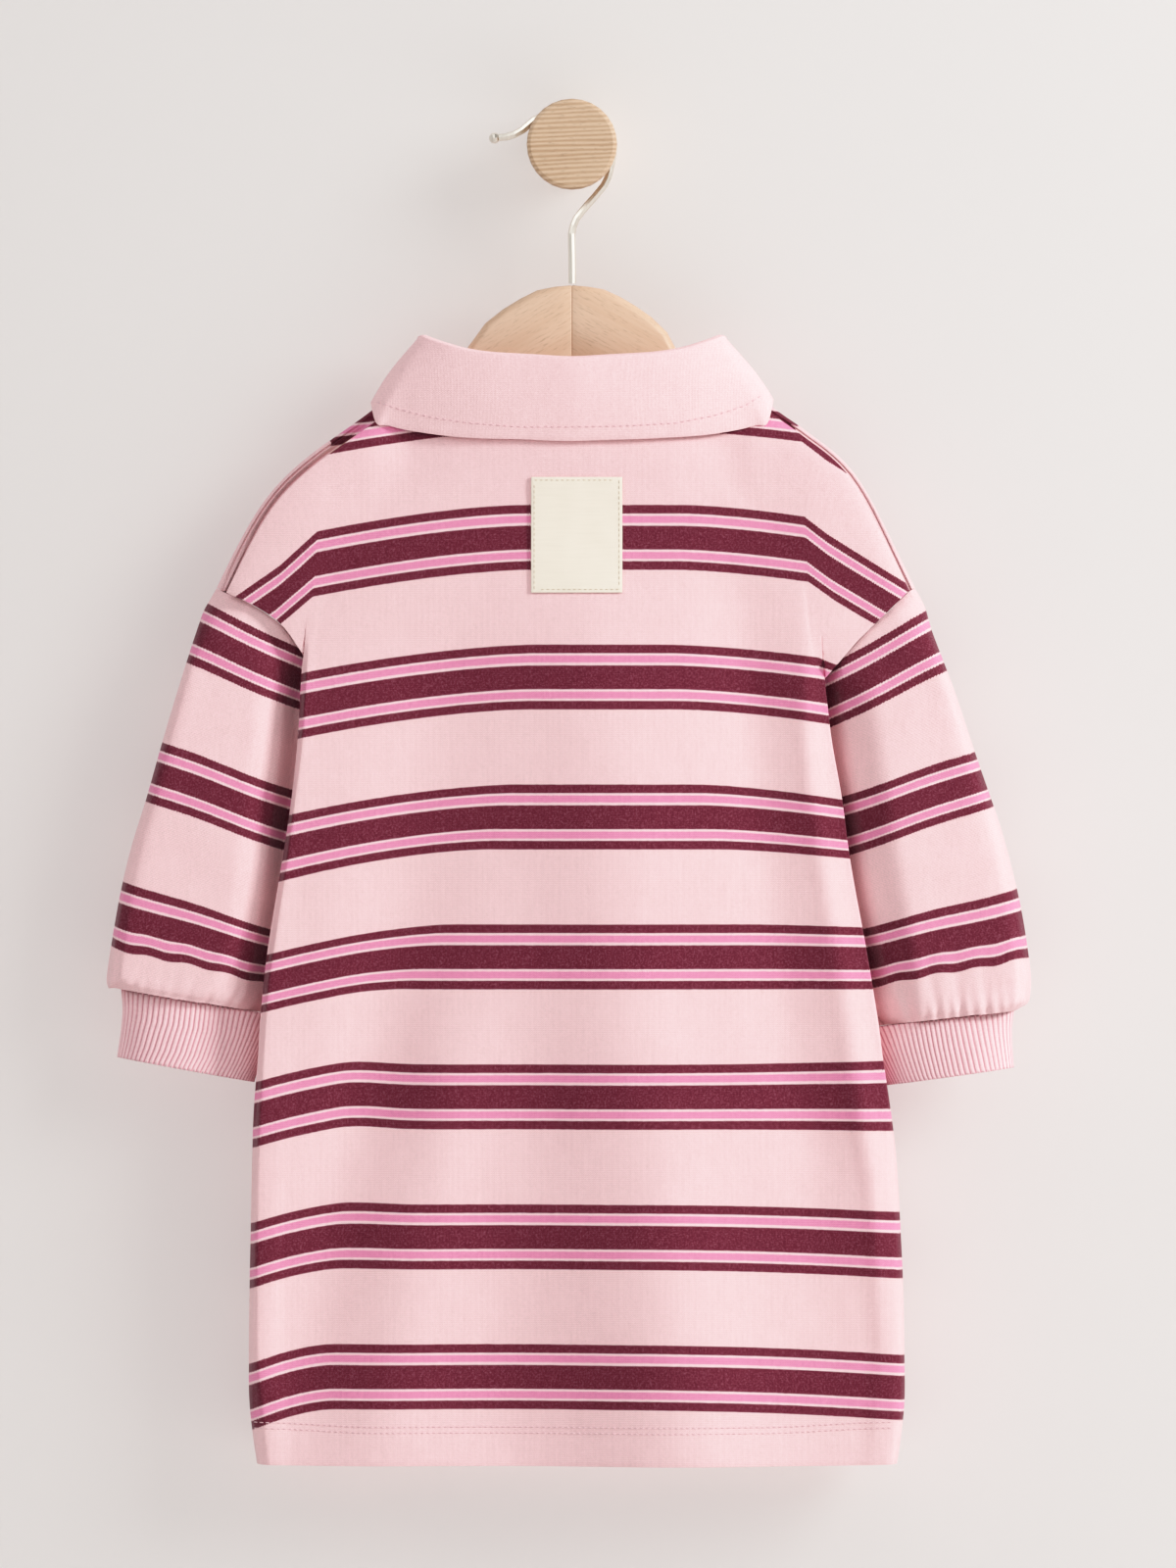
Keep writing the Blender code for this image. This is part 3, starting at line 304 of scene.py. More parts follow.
def makeGrainGroup():
    # Beech: long pale bands along X with short darker rays.
    group, given, result = newGroup(
        "woodGrain",
        [("Vector", "Vector", None), ("Band", "Float", 1.0)],
        [("Tone", "Float"), ("Ray", "Float"), ("Height", "Float")])
    stretched = stretch(group, given.outputs["Vector"], (14.0, 120.0, 120.0))
    bent = addNoise(group, stretched, 1.0, 4.0, 0.55, 0.4)
    bands = addNode(group, "ShaderNodeTexWave", {"Vector": stretched, "Scale": 1.2,
                                                 "Distortion": 6.5, "Detail": 3.0, "Detail Scale": 0.6},
                    bands_direction="Z")
    rays = addNoise(group, stretch(group, given.outputs["Vector"], (210.0, 1500.0, 1500.0)), 1.0, 2.0, 0.6)
    flecks = around(group, rays, 0.55, 6.0, True)
    tone = doMath(group, "ADD", doMath(group, "MULTIPLY", bent, 0.55),
                  doMath(group, "MULTIPLY", doMath(group, "MULTIPLY", bands.outputs["Fac"], 0.45),
                         given.outputs["Band"]))
    group.links.new(tone, result.inputs["Tone"])
    group.links.new(flecks, result.inputs["Ray"])
    group.links.new(doMath(group, "ADD", tone, flecks), result.inputs["Height"])
    return group


knitLoops = makeKnitGroup()
woodGrain = makeGrainGroup()

# The stripes of one repeat, from the top of its first thin stripe down, in mm.
stripes = {"period": 65.55, "thin": 3.95, "line": 1.1, "band": 3.35, "thick": 11.3,
           "maroon": (107, 40, 58), "hotPink": (236, 142, 178), "pale": (251, 209, 214),
           "ground": (249, 204, 207), "fuzzSheen": (232, 170, 190)}


def stripeStops():
    ground, maroon = toLinear(stripes["ground"]), toLinear(stripes["maroon"])
    hot, pale = toLinear(stripes["hotPink"]), toLinear(stripes["pale"])
    widths = [("thin", maroon), ("line", pale), ("band", hot), ("line", pale), ("thick", maroon),
              ("line", pale), ("band", hot), ("line", pale), ("thin", maroon)]
    at, stops = 0.0, []
    for name, colour in widths:
        stops.append((at / stripes["period"], colour))
        at += stripes[name]
    return stops + [(at / stripes["period"], ground)]


def knitMaterial(name, ground=None, wale=1.1, course=0.85, bump=0.4, sheen=0.28,
                 ribs=None):
    # Knitted cloth; without a ground colour it takes the stripes from its own attribute.
    material, tree, shader = newMaterial(name, 0.92)
    fabric = addNode(tree, "ShaderNodeAttribute", attribute_name="fabric")
    parts = addNode(tree, "ShaderNodeSeparateXYZ", {0: fabric.outputs["Vector"]})
    knit = addNode(tree, "ShaderNodeGroup", node_tree=knitLoops)
    knit.inputs["Wale"].default_value, knit.inputs["Course"].default_value = wale, course
    tree.links.new(parts.outputs["X"], knit.inputs["Along"])
    tree.links.new(parts.outputs["Y"], knit.inputs["Up"])
    if ground is None:
        rough = addNoise(tree, fabric.outputs["Vector"], 1.3)
        shaken = doMath(tree, "ADD", parts.outputs["Z"],
                        doMath(tree, "MULTIPLY", knit.outputs["Zigzag"], 1.1))
        shaken = doMath(tree, "ADD", shaken, around(tree, rough, 0.5, 0.8))
        turn = doMath(tree, "FRACT", doMath(tree, "DIVIDE", shaken, stripes["period"]))
        colour = addRamp(tree, turn, stripeStops(), "CONSTANT")
        # The flecks of fuzz are mixed towards a pale pink: partly the fibres' own tone, partly painted
        # sheen.
        colour = mixColours(tree, knit.outputs["FuzzSheen"], colour, toLinear(stripes["fuzzSheen"]))
    elif ribs is not None:
        # Painted shade in the ribs' grooves and on their flanks, and a painted highlight on their crests.
        pitch, grooveShade = ribs
        turn = doMath(tree, "FRACT", doMath(tree, "DIVIDE", parts.outputs["Z"], pitch))
        side, crest = [0.5 * (a + b) for a, b in zip(ground, grooveShade)], [min(c + 5, 255) for c in ground]
        colour = addRamp(tree, turn, [(0.0, toLinear(grooveShade)), (0.11, toLinear(side)),
                                      (0.25, toLinear(ground)), (0.5, toLinear(crest)),
                                      (0.75, toLinear(ground)), (0.89, toLinear(side)),
                                      (1.0, toLinear(grooveShade))])
    else:
        colour = toLinear(ground)
    toned = mixColours(tree, 1.0, colour, knit.outputs["Tone"], "MULTIPLY")
    tree.links.new(toned, shader.inputs["Base Color"])
    giveRelief(tree, shader, knit.outputs["Height"], bump, 0.0004)
    shader.inputs["Sheen Weight"].default_value = sheen
    shader.inputs["Sheen Roughness"].default_value = 0.4
    shader.inputs["Sheen Tint"].default_value = (1.0, 0.9, 0.92, 1.0)
    shader.inputs["Specular IOR Level"].default_value = 0.15
    return material


def wovenMaterial(name, colour):
    # The patch: fine plain weave, slightly glossy, with faint slubs.
    material, tree, shader = newMaterial(name, 0.7)
    fabric = addNode(tree, "ShaderNodeAttribute", attribute_name="fabric")
    parts = addNode(tree, "ShaderNodeSeparateXYZ", {0: fabric.outputs["Vector"]})
    threads = [doMath(tree, "SINE", doMath(tree, "MULTIPLY", parts.outputs[k], 2 * pi / pitch))
               for k, pitch in (("X", 0.62), ("Y", 0.5))]
    weave = doMath(tree, "MULTIPLY", threads[0], threads[1])
    uneven = addNoise(tree, stretch(tree, objectPlace(tree), (60.0, 60.0, 900.0)), 1.0, 3.0)
    # Painted shade: the tone is a little darker where the weave is low.
    tone = doMath(tree, "ADD", doMath(tree, "MULTIPLY", weave, 0.03),
                  doMath(tree, "ADD", doMath(tree, "MULTIPLY", uneven, 0.10), 0.94))
    tree.links.new(mixColours(tree, 1.0, toLinear(colour), tone, "MULTIPLY"),
                   shader.inputs["Base Color"])
    giveRelief(tree, shader, weave, 0.3, 0.0002)
    shader.inputs["Sheen Weight"].default_value = 0.15
    return material


def woodMaterial(name, angle, centre, pale, dark, band=1.0):
    # Waxed beech; the grain runs at angle to X in the plane of the wall.
    material, tree, shader = newMaterial(name, 0.5)
    turned = addNode(tree, "ShaderNodeMapping",
                     {"Vector": objectPlace(tree), "Location": [c * mm for c in centre],
                      "Rotation": (0.0, radians(angle), 0.0)})
    grain = addNode(tree, "ShaderNodeGroup", node_tree=woodGrain)
    grain.inputs["Band"].default_value = band
    tree.links.new(turned.outputs[0], grain.inputs["Vector"])
    base = addRamp(tree, grain.outputs["Tone"], [(0.25, toLinear(dark)), (0.7, toLinear(pale))])
    flecked = mixColours(tree, doMath(tree, "MULTIPLY", grain.outputs["Ray"], 0.5), base,
                         toLinear([c * 0.78 for c in dark]))
    tree.links.new(flecked, shader.inputs["Base Color"])
    rough = doMath(tree, "ADD", doMath(tree, "MULTIPLY", grain.outputs["Tone"], 0.15), 0.42)
    tree.links.new(rough, shader.inputs["Roughness"])
    giveRelief(tree, shader, grain.outputs["Height"], 0.12, 0.0002)
    return material


def metalMaterial(name):
    # Satin nickel wire with fine lengthwise drawing marks.
    material, tree, shader = newMaterial(name, 0.3)
    marks = addNoise(tree, stretch(tree, objectPlace(tree), (900.0, 900.0, 60.0)), 1.0, 3.0)
    colour = addRamp(tree, marks, [(0.2, toLinear((226, 219, 207))), (0.8, toLinear((243, 237, 226)))])
    tree.links.new(colour, shader.inputs["Base Color"])
    rough = doMath(tree, "ADD", doMath(tree, "MULTIPLY", marks, 0.1), 0.32)
    tree.links.new(rough, shader.inputs["Roughness"])
    shader.inputs["Metallic"].default_value = 1.0
    return material


def threadMaterial(name, colour):
    # Sewing thread with its twist.
    material, tree, shader = newMaterial(name, 0.6)
    twist = addNode(tree, "ShaderNodeTexWave", {"Vector": objectPlace(tree), "Scale": 700.0,
                                                "Distortion": 1.0}, bands_direction="DIAGONAL")
    shade = addRamp(tree, twist.outputs["Fac"], [(0.0, toLinear([c * 0.9 for c in colour])),
                                                 (1.0, toLinear(colour))])
    tree.links.new(shade, shader.inputs["Base Color"])
    shader.inputs["Sheen Weight"].default_value = 0.2
    return material


def wallMaterial():
    # Matt pale paint; its back is clear, so the dress is also seen from behind the wall.
    material, tree, shader = newMaterial("wallPaint", 0.9)
    soft = addNoise(tree, objectPlace(tree), 1.4)
    tint = addRamp(tree, soft, [(0.3, toLinear((232, 228, 226))), (0.7, toLinear((236, 232, 230)))])
    tree.links.new(tint, shader.inputs["Base Color"])
    geometry = addNode(tree, "ShaderNodeNewGeometry")
    clear = addNode(tree, "ShaderNodeBsdfTransparent")
    both = addNode(tree, "ShaderNodeMixShader", {0: geometry.outputs["Backfacing"],
                                                 1: shader.outputs[0], 2: clear.outputs[0]})
    tree.links.new(both.outputs[0], tree.nodes["Material Output"].inputs["Surface"])
    return material


def quadCopy(node, name):
    # A merged copy of a node's mesh in quads, with the edges of its cut rims creased.
    bm = bmesh.new()
    bm.from_mesh(nodes[node].data)
    bmesh.ops.remove_doubles(bm, verts=bm.verts[:], dist=2e-6)
    bmesh.ops.join_triangles(bm, faces=bm.faces[:], angle_face_threshold=pi,
                             angle_shape_threshold=pi)
    crease = bm.edges.layers.float.new("crease_edge")
    for edge in bm.edges:
        if len(edge.link_faces) == 2 and edge.calc_face_angle(0) > radians(58):
            edge[crease] = 1.0
    mesh = bpy.data.meshes.new(name)
    bm.to_mesh(mesh)
    bm.free()
    obj = bpy.data.objects.new(name, mesh)
    bpy.context.scene.collection.objects.link(obj)
    return obj


def refine(obj, levels, rounds=4):
    # Subdivides a piece smoothly; its cage is moved until the surface passes through it.
    mesh = obj.data
    count = len(mesh.vertices)
    target = np.array([v.co for v in mesh.vertices])
    smooth = obj.modifiers.new("smooth", "SUBSURF")
    smooth.levels = smooth.render_levels = 1
    for _ in range(rounds):
        reached = evaluated(obj)
        now = np.array([reached.vertices[i].co for i in range(count)])
        cage = np.array([v.co for v in mesh.vertices]) + 0.8 * (target - now)
        mesh.vertices.foreach_set("co", cage.ravel())
        mesh.update()
    smooth.levels = smooth.render_levels = levels
    dense = bpy.data.meshes.new_from_object(obj.evaluated_get(bpy.context.evaluated_depsgraph_get()))
    obj.modifiers.remove(smooth)
    obj.data = dense
    dense.name = obj.name
    return obj


def evaluated(obj):
    return obj.evaluated_get(bpy.context.evaluated_depsgraph_get()).data


def roundRims(obj, width, segments=2):
    # Rounds the cut rims of a cloth piece.
    bm = bmesh.new()
    bm.from_mesh(obj.data)
    rims = [e for e in bm.edges if len(e.link_faces) == 2 and e.calc_face_angle(0) > radians(50)]
    bmesh.ops.bevel(bm, geom=rims, offset=width * mm, affect="EDGES", segments=segments,
                    profile=0.5, material=-1, clamp_overlap=True)
    for face in bm.faces:
        face.smooth = True
    bm.to_mesh(obj.data)
    bm.free()


def moveVertices(obj, shift):
    # Moves each vertex by what shift(place, normal) gives, all in mm.
    mesh = obj.data
    normals = [v.normal.copy() for v in mesh.vertices]
    places = [v.co / mm for v in mesh.vertices]
    mesh.vertices.foreach_set("co", np.array(
        [(p + shift(p, n)) * mm for p, n in zip(places, normals)]).ravel())
    mesh.update()


def giveFabric(obj, fabricAt):
    # Stores (along the courses, up the wales, down the stripes) in mm on each vertex.
    layer = obj.data.attributes.new("fabric", "FLOAT_VECTOR", "POINT")
    values = [fabricAt(v.co / mm, v.normal) for v in obj.data.vertices]
    layer.data.foreach_set("vector", np.array(values, np.float32).ravel())


def shapeCloth(obj, shift, fabricAt, rim):
    moveVertices(obj, shift)
    giveFabric(obj, fabricAt)
    roundRims(obj, rim)


def dress(obj, material, slot, *replaced):
    # Gives a piece its finish and its place in the frame.
    obj.data.materials.clear()
    obj.data.materials.append(material)
    obj.data.shade_smooth()
    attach(obj, "root")
    if replaced:
        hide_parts(*replaced)
    return obj


# The fold edge of the body as seen from the room, at heights down the dress.
bodyEdge = {
    "down": (140, 165, 200, 239, 283, 333, 394, 432, 484, 568, 622),
    "left": (118.0, 119.6, 121.2, 125.5, 128.3, 134.7, 143.9, 146.6, 149.4, 150.8, 146.5),
    "right": (109.0, 109.5, 111.4, 116.4, 121.8, 129.5, 140.2, 145.5, 152.2, 155.4, 151.5),
}
# Droop of the stripes at heights down the dress: how far they fall at the fold edge on each
# side, and how far out from the centre line they begin to fall.
droop = {
    "down": (137, 169, 235, 301, 367, 432, 497, 563),
    "left": (12.0, 12.4, 13.0, 14.0, 15.5, 8.0, 8.8, 9.2),
    "leftFrom": (18, 22, 16, 26, 56, 104, 106, 112),
    "right": (5.5, 5.5, 6.0, 7.5, 1.4, -1.6, 3.6, 5.2),
    "rightFrom": (40, 52, 44, 58, 80, 60, 34, 34),
}
kinkSlope = {"left": 0.74, "right": 0.64}     # steeper fall over the shoulder's outer end
# The stripes' low hump on the left, where the cloth is drawn up.
hump = {"rise": 1.3, "x": -100.0, "wide": 16.0, "z": -455.0, "tall": 60.0}


def atHeight(table, column, z):
    # What a column of a table gives at a height; its "down" is counted down from the peg.
    return through(table["down"], table[column], -z)


def bodyEdgeAt(x, z):
    # Distance from the centre line to the fold edge of the body on the side of x.
    return atHeight(bodyEdge, "left" if x < 0 else "right", z)


def stripeFall(x, z, mirrored=False):
    # How far the stripes hang below level at a place on a panel, in mm.
    side = "left" if (x < 0) != mirrored else "right"
    out = abs(x)
    edge = bodyEdgeAt(x, z)
    start = atHeight(droop, side + "From", z)
    share = min(max((out - start) / (edge - start), 0.0), 1.15)
    fall = atHeight(droop, side, z) * share ** 1.6
    if side == "left":
        near = exp(-((x - hump["x"]) / hump["wide"]) ** 2)
        fall -= hump["rise"] * near * exp(-((z - hump["z"]) / hump["tall"]) ** 2)
    outside = smoothStep(-262, -222, z)
    kink = edge - 1.0
    return fall + kinkSlope[side] * outside * max(out - kink, 0.0)


def belowShoulders(z):
    # Folds fade in over this stretch of height, below the part that lies on the hanger.
    return smoothStep(-108, -150, z)


# The front's outer strip over each shoulder, which shows from behind in the plain ground colour.
shoulderStrip = {"deep": 7.0, "inside": 4.0, "top": -132.0, "bottom": -246.0, "down": -14.0}


def panelFabric(face, stripeStart):
    side = {"wide": 16.0, "deep": 22.0}      # the roll at a side seam
    sign = -1 if face == "back" else 1

    def fabricAt(place, normal):
        x, y, z = place
        edge = bodyEdgeAt(x, z)
        depth = abs(y - midPlane)
        turned = smoothStep(edge - side["wide"], edge + 1, abs(x))
        along = x + (1 if x > 0 else -1) * turned * max(side["deep"] - depth, 0.0)
        down = stripeStart - z - stripeFall(x, z, face == "front")
        onStrip = depth < shoulderStrip["deep"] and abs(x) > edge - shoulderStrip["inside"]
        if face == "front" and onStrip and shoulderStrip["bottom"] < z < shoulderStrip["top"]:
            down = shoulderStrip["down"]
        return along * sign, z, down
    return fabricAt


print("cloth helpers ready")

# Soft folds added to those of the CAD, each as (z, x, width, rise) down its length.
backFolds = (
    ((-180, 8, 30, 0.0), (-230, 12, 34, 2.0), (-330, 22, 38, 4.0), (-415, 27, 38, 6.0),
     (-484, 40, 40, 8.0), (-560, 47, 40, 11.0), (-606, 50, 42, 12.2), (-625, 50, 42, 12.2)),
    ((-165, 70, 18, 0.0), (-215, 78, 18, -2.2), (-300, 88, 18, -1.6), (-415, 104, 20, -1.4),
     (-484, 120, 18, -1.0), (-575, 130, 16, 0.0)),
    ((-284, -54, 24, 0.0), (-415, -86, 22, -2.2), (-484, -107, 19, -3.0), (-548, -122, 18, -2.4),
     (-600, -130, 18, -0.6)),
    ((-360, -43, 16, 0.0), (-415, -48, 18, 0.6), (-484, -60, 20, 1.2), (-606, -98, 26, 2.0),
     (-625, -100, 26, 2.0)),
    ((-400, -18, 14, 0.0), (-484, -31, 16, 1.2), (-606, -50, 18, 0.3)),
    ((-500, -18, 24, 0.0), (-560, -22, 26, -2.2), (-606, -25, 28, -3.4), (-625, -25, 28, -3.4)),
)
frontFolds = (
    ((-200, -10, 30, 0.0), (-300, -16, 32, 1.6), (-620, -38, 40, 3.4)),
    ((-210, 60, 20, 0.0), (-330, 74, 22, -1.5), (-560, 108, 20, -1.2)),
    ((-230, -70, 20, 0.0), (-400, -88, 20, -1.6), (-620, -112, 20, -1.4)),
    ((-360, 30, 16, 0.0), (-480, 50, 20, 1.2), (-620, 64, 24, 2.2)),
)


# The cloth stands out along the body's two fold edges and falls away towards the middle. At
# heights down the dress: how far it stands out, over what width it falls away, how far inside
# the edge its crest lies, and how deep the squared side of a panel is.
lip = {
    "down": (150, 200, 235, 262, 301, 367, 432, 497, 563, 622),
    "left": (0, 1.2, 2.6, 5.5, 7.0, 6.5, 6.0, 5.0, 4.0, 2.5),
    "leftWide": (50, 60, 70, 70, 70, 62, 50, 40, 26, 20),
    "leftCrest": (3, 3, 3, 3, 3, 3, 3, 3, 4, 6),
    "right": (0, 1.2, 2.6, 4.6, 5.5, 5.5, 5.5, 4.0, 0.8, 0.0),
    "rightWide": (36, 36, 36, 34, 32, 32, 30, 28, 24, 22),
    "rightCrest": (3, 4, 8, 12, 16, 17, 18, 15, 12, 10),
    "full": (15.5, 15.5, 16.0, 17.5, 19.0, 20.0, 21.5, 23.5, 24.5, 25.0),
}


def lipRise(x, z):
    straight, eased = 0.7, 0.6      # shares of the width that fall straight and then ease out
    side = "left" if x < 0 else "right"
    inward = bodyEdgeAt(x, z) - abs(x)
    crest = atHeight(lip, side + "Crest", z)
    t = max(inward - crest, 0) / atHeight(lip, side + "Wide", z)
    fall = 1 - t
    if t >= straight:
        fall = (1 - straight) * (1 - min((t - straight) / eased, 1.0)) ** 2
    rolled = smoothStep(-0.5, crest - 1.0, inward)
    spread = 1 - smoothStep(2, 30, -inward)
    above = smoothStep(-258, -225, z)
    return atHeight(lip, side, z) * fall * (rolled * (1 - above) + spread * above)


def foldRise(folds, x, z):
    total = 0.0
    for fold in folds:
        downs = [-point[0] for point in fold]
        centre, width, rise = (through(downs, [point[k] for point in fold], -z) for k in (1, 2, 3))
        total += rise * exp(-((x - centre) / width) ** 2)
    return total


def backShift(x, z):
    # How far the cloth of the back stands out beyond the CAD's own surface.
    return foldRise(backFolds, x, z) + 0.3 * wander(x, 0, z, 34, 3.7) + 0.12 * wander(x, 0, z, 9, 6.1)


def frontShift(x, z):
    return foldRise(frontFolds, x, z) + 0.4 * wander(x, 7, z, 30, 2.9)


def depthAt(skin, place, sign):
    # How far the outer skin stands from the middle plane in front of a place, on either side.
    hit = skin.ray_cast(Vector((place.x, sign * 400, place.z)) * mm, Vector((0, -sign, 0)))
    return abs(hit[0].y / mm - midPlane) if hit[0] is not None else abs(place.y - midPlane)


def boxy(depth, full, power=3):
    # Flattens a rounded section: steep at its edge, level soon after.
    return depth if depth > full else full * (1 - (1 - depth / full) ** power)


def makePanel(face):
    settings = {"levels": 3 if face == "back" else 2, "rim": 0.45,
                "stripeStart": -169.5 if face == "back" else -171.5,
                "sideRoll": 16.0, "hemTurn": 0.35, "hemLine": -603.0,
                "lipShare": 1.0 if face == "back" else 0.6,
                "square": 20.0, "squareMore": 26.0, "armhole": (-262, -225)}
    rises = backShift if face == "back" else frontShift
    sign = -1 if face == "back" else 1
    obj = quadCopy(face + "_panel", face + "Panel")
    refine(obj, settings["levels"])
    skin = treeOf(obj)

    def shift(place, normal):
        x, y, z = place
        edge = bodyEdgeAt(x, z)
        depth = abs(y - midPlane)
        held = smoothStep(1.5, 12, depth) * belowShoulders(z)
        held *= 1 - smoothStep(edge - settings["sideRoll"], edge + 1, abs(x))
        crisp = lipRise(x, z) * smoothStep(2, 6, depth) * settings["lipShare"]
        hemTurn = settings["hemTurn"] * exp(-((z - settings["hemLine"]) / 2.2) ** 2)
        reach = settings["square"] + settings["squareMore"] * smoothStep(*settings["armhole"], z)
        if abs(x) > edge - reach and z < -108:
            room = depthAt(skin, place, sign)
            squarer = boxy(room, atHeight(lip, "full", z), 4) - room
            squarer *= smoothStep(edge - reach, edge - 0.5 * reach, abs(x)) * belowShoulders(z)
            crisp += squarer * smoothStep(1.5, 5, depth) * 0.9
        return Vector((0, sign * (held * (rises(x, z) - hemTurn) + crisp), 0))

    shapeCloth(obj, shift, panelFabric(face, settings["stripeStart"]), settings["rim"])
    dress(obj, jersey, "jersey", face + "_panel")
    return obj


# Stripes of a sleeve: the top of each group from its outer to its inner end, in photo pixels.
sleeveStripes = {
    "left": ((0.0, (217, 619), (308, 663)), (0.47, (191, 678), (305, 725)),
             (1.0, (164, 757), (297, 806)), (1.47, (150, 818), (289, 868)),
             (2.0, (125, 899), (276, 948)), (2.47, (116, 968), (270, 1003))),
    "right": ((0.0, (943, 625), (880, 660)), (0.47, (968, 685), (850, 742)),
              (1.0, (995, 767), (862, 812)), (1.47, (1016, 822), (867, 873)),
              (2.0, (1038, 907), (879, 948)), (2.47, (1050, 978), (892, 1007))),
}


def sleeveFabric(side):
    turns, lines = [], []
    for turn, outer, inner in sleeveStripes[side]:
        (x0, z0), (x1, z1) = fromPhoto(*outer), fromPhoto(*inner)
        turns.append(turn)
        lines.append((z0, (z1 - z0) / (x1 - x0), x0))
    repeat = (lines[0][0] - lines[4][0]) / 2

    def fabricAt(place, normal):
        x, y, z = place
        drops = [-(z0 + slope * (x - x0)) for z0, slope, x0 in lines]
        first, last = drops[0], drops[-1]
        if -z < first:
            turn = (-z - first) / repeat
        elif -z > last:
            turn = turns[-1] + (-z - last) / repeat
        else:
            turn = through(drops, turns, -z)
        wave = 0.010 * sin(x * 0.34) * smoothStep(2.1, 2.6, turn) + 0.006 * sin(x * 0.11 + 2)
        along = x * 0.95 + z * (0.42 if side == "left" else -0.42) * 0.9
        if abs(normal.y) < 0.6:
            along = y
        return along, -turn * stripes["period"], (turn + wave) * stripes["period"]
    return fabricAt


# Outer and inner end of each cuff seam, as (x, z).
cuffSeam = {"left": ((-212.0, -396.5), (-145.1, -408.0)), "right": ((208.0, -406.6), (142.0, -414.5))}


def seamFrame(side):
    # A cuff seam in the wall's plane: its outer end, the way across, its length and the way up.
    outer, inner = (Vector((x, 0, z)) for x, z in cuffSeam[side])
    across = inner - outer
    length = across.length
    across = across / length
    up = Vector((-across.z, 0, across.x))
    return outer, across, length, up if up.z > 0 else -up


# Gathers above a cuff: place across from the outer end (0 to 1), lean, length and depth.
gathers = {
    "left": ((0.02, 0.0, 14, 0.7), (0.09, 0.1, 16, 0.9), (0.17, 0.0, 15, 0.6), (0.27, 0.2, 13, 0.5),
             (0.36, 0.1, 15, 0.6), (0.47, 0.3, 17, 0.8), (0.60, 0.9, 15, 2.6), (0.66, 0.8, 26, 1.6),
             (0.76, 0.8, 22, 1.2), (0.86, 0.6, 18, 0.9), (0.95, 0.3, 15, 0.7)),
    "right": ((0.04, 0.0, 13, 0.9), (0.11, 0.0, 17, 1.4), (0.20, -0.1, 22, 1.9), (0.29, 0.1, 16, 1.3),
              (0.38, 0.0, 26, 2.3), (0.46, -0.1, 18, 1.5), (0.54, 0.1, 22, 2.0), (0.63, -0.2, 19, 1.6),
              (0.73, 0.2, 26, 2.2), (0.83, 0.3, 22, 2.0), (0.93, 0.2, 15, 1.2)),
}


def makeSleeve(side):
    settings = {"levels": 3, "rim": 0.45, "width": 0.026, "corner": (6.0, 9.0),
                "tuckWide": 24 if side == "left" else 26, "tuck": 5.5 if side == "left" else 9.5,
                "tuckFrom": (-206, -256) if side == "left" else (-225, -285),
                "tilt": 1.0 if side == "left" else 8.0,
                "overhang": 4.6 if side == "left" else 7.6,
                "full": ((200, 230, 260, 300, 340, 380, 410), (13, 15, 19, 21.5, 22.4, 21.3, 19)),
                "gathered": 60, "puff": 1.1, "rimTuck": 0.8, "roll": 0.9, "cornerShare": 0.4}
    obj = quadCopy("sleeve_" + side, "sleeve" + side.capitalize())
    refine(obj, settings["levels"])
    skin = treeOf(obj)
    outer, across, length, up = seamFrame(side)

    def shift(place, normal):
        flat = Vector((place.x, 0, place.z)) - outer
        share, height = flat.dot(across) / length, flat.dot(up)
        facing = -1 if place.y < midPlane else 1
        depth = abs(place.y - midPlane)
        rise = 0.0
        if height < settings["gathered"]:
            for k, (at, lean, long, deep) in enumerate(gathers[side]):
                if facing > 0:
                    at, deep = (at + 0.045) % 1.0, deep * (0.8 + 0.3 * sin(2.1 * k))
                centre = at + lean * max(height, 0) / length * 0.6
                spread = settings["width"] * (1 + 1.6 * max(height, 0) / 30)
                fade = exp(-max(height, 0) / long * 1.6) * smoothStep(-3, 2.5, height)
                rise -= deep * fade * exp(-((share - centre) / spread) ** 2)
            rise += settings["puff"] * exp(-max(height, 0) / 16) * smoothStep(-1, 6, height)
        soft = smoothStep(10, 40, height) * (0.9 * wander(place.x, facing * 9, place.z, 34, 1.3)
                                             + 0.3 * wander(place.x, facing * 5, place.z, 14, 5.1))
        beyond = abs(place.x) - bodyEdgeAt(place.x, place.z)
        tucked = (1 - smoothStep(3, settings["tuckWide"], beyond)) * settings["tuck"]
        rise -= tucked * smoothStep(*settings["tuckFrom"], place.z) * (1.0 if facing < 0 else 0.4)
        rise -= settings["rimTuck"] * (1 - smoothStep(0, 3.0, height))
        tilted = settings["tilt"] * (share - 0.45) * smoothStep(0, 12, height)
        rise += tilted * smoothStep(-225, -290, place.z)
        if height > -2:
            room = depthAt(skin, place, facing)
            full = through(*settings["full"], -place.z)
            rolled = settings["roll"] * sin(pi * min(room / full, 1.0))
            rolled *= 1 - smoothStep(0.25, 0.5, share)
            flatter = smoothStep(0, 10, beyond) * smoothStep(-215, -255, place.z)
            rise += (min(boxy(room, full), full) + rolled - room) * flatter * 0.9
        held = smoothStep(0.5, 4.0, depth)
        past, low = max(share * length + settings["overhang"], 0.0), max(height + 0.5, 0.0)
        wide, tall = settings["corner"]
        outwards = (1 - min(low / tall, 1)) ** 2
        downwards = (1 - min(past / wide, 1)) ** 2
        square = -across * wide * outwards * (1 - smoothStep(0, 12, past))
        square -= up * tall * downwards * (1 - smoothStep(0, 14, low))
        return square * settings["cornerShare"] + Vector((0, facing * held * (rise + soft), 0))

    shapeCloth(obj, shift, sleeveFabric(side), settings["rim"])
    dress(obj, jersey, "jersey", "sleeve_" + side)
    return obj


# Ribs of a cuff: their lean goes from the outer end (first) to the end at the body (last), and
# the outer edge swings in and out down the cuff.
cuffRibs = {"pitch": 2.75, "relief": 0.5, "height": 36.0, "lean": (0.0, 0.02, 0.05, 0.15, 0.38),
            "swing": {"left": (0.0, 1.6, 0.9, -1.4), "right": (0.0, 0.4, 0.2, -1.8)}}


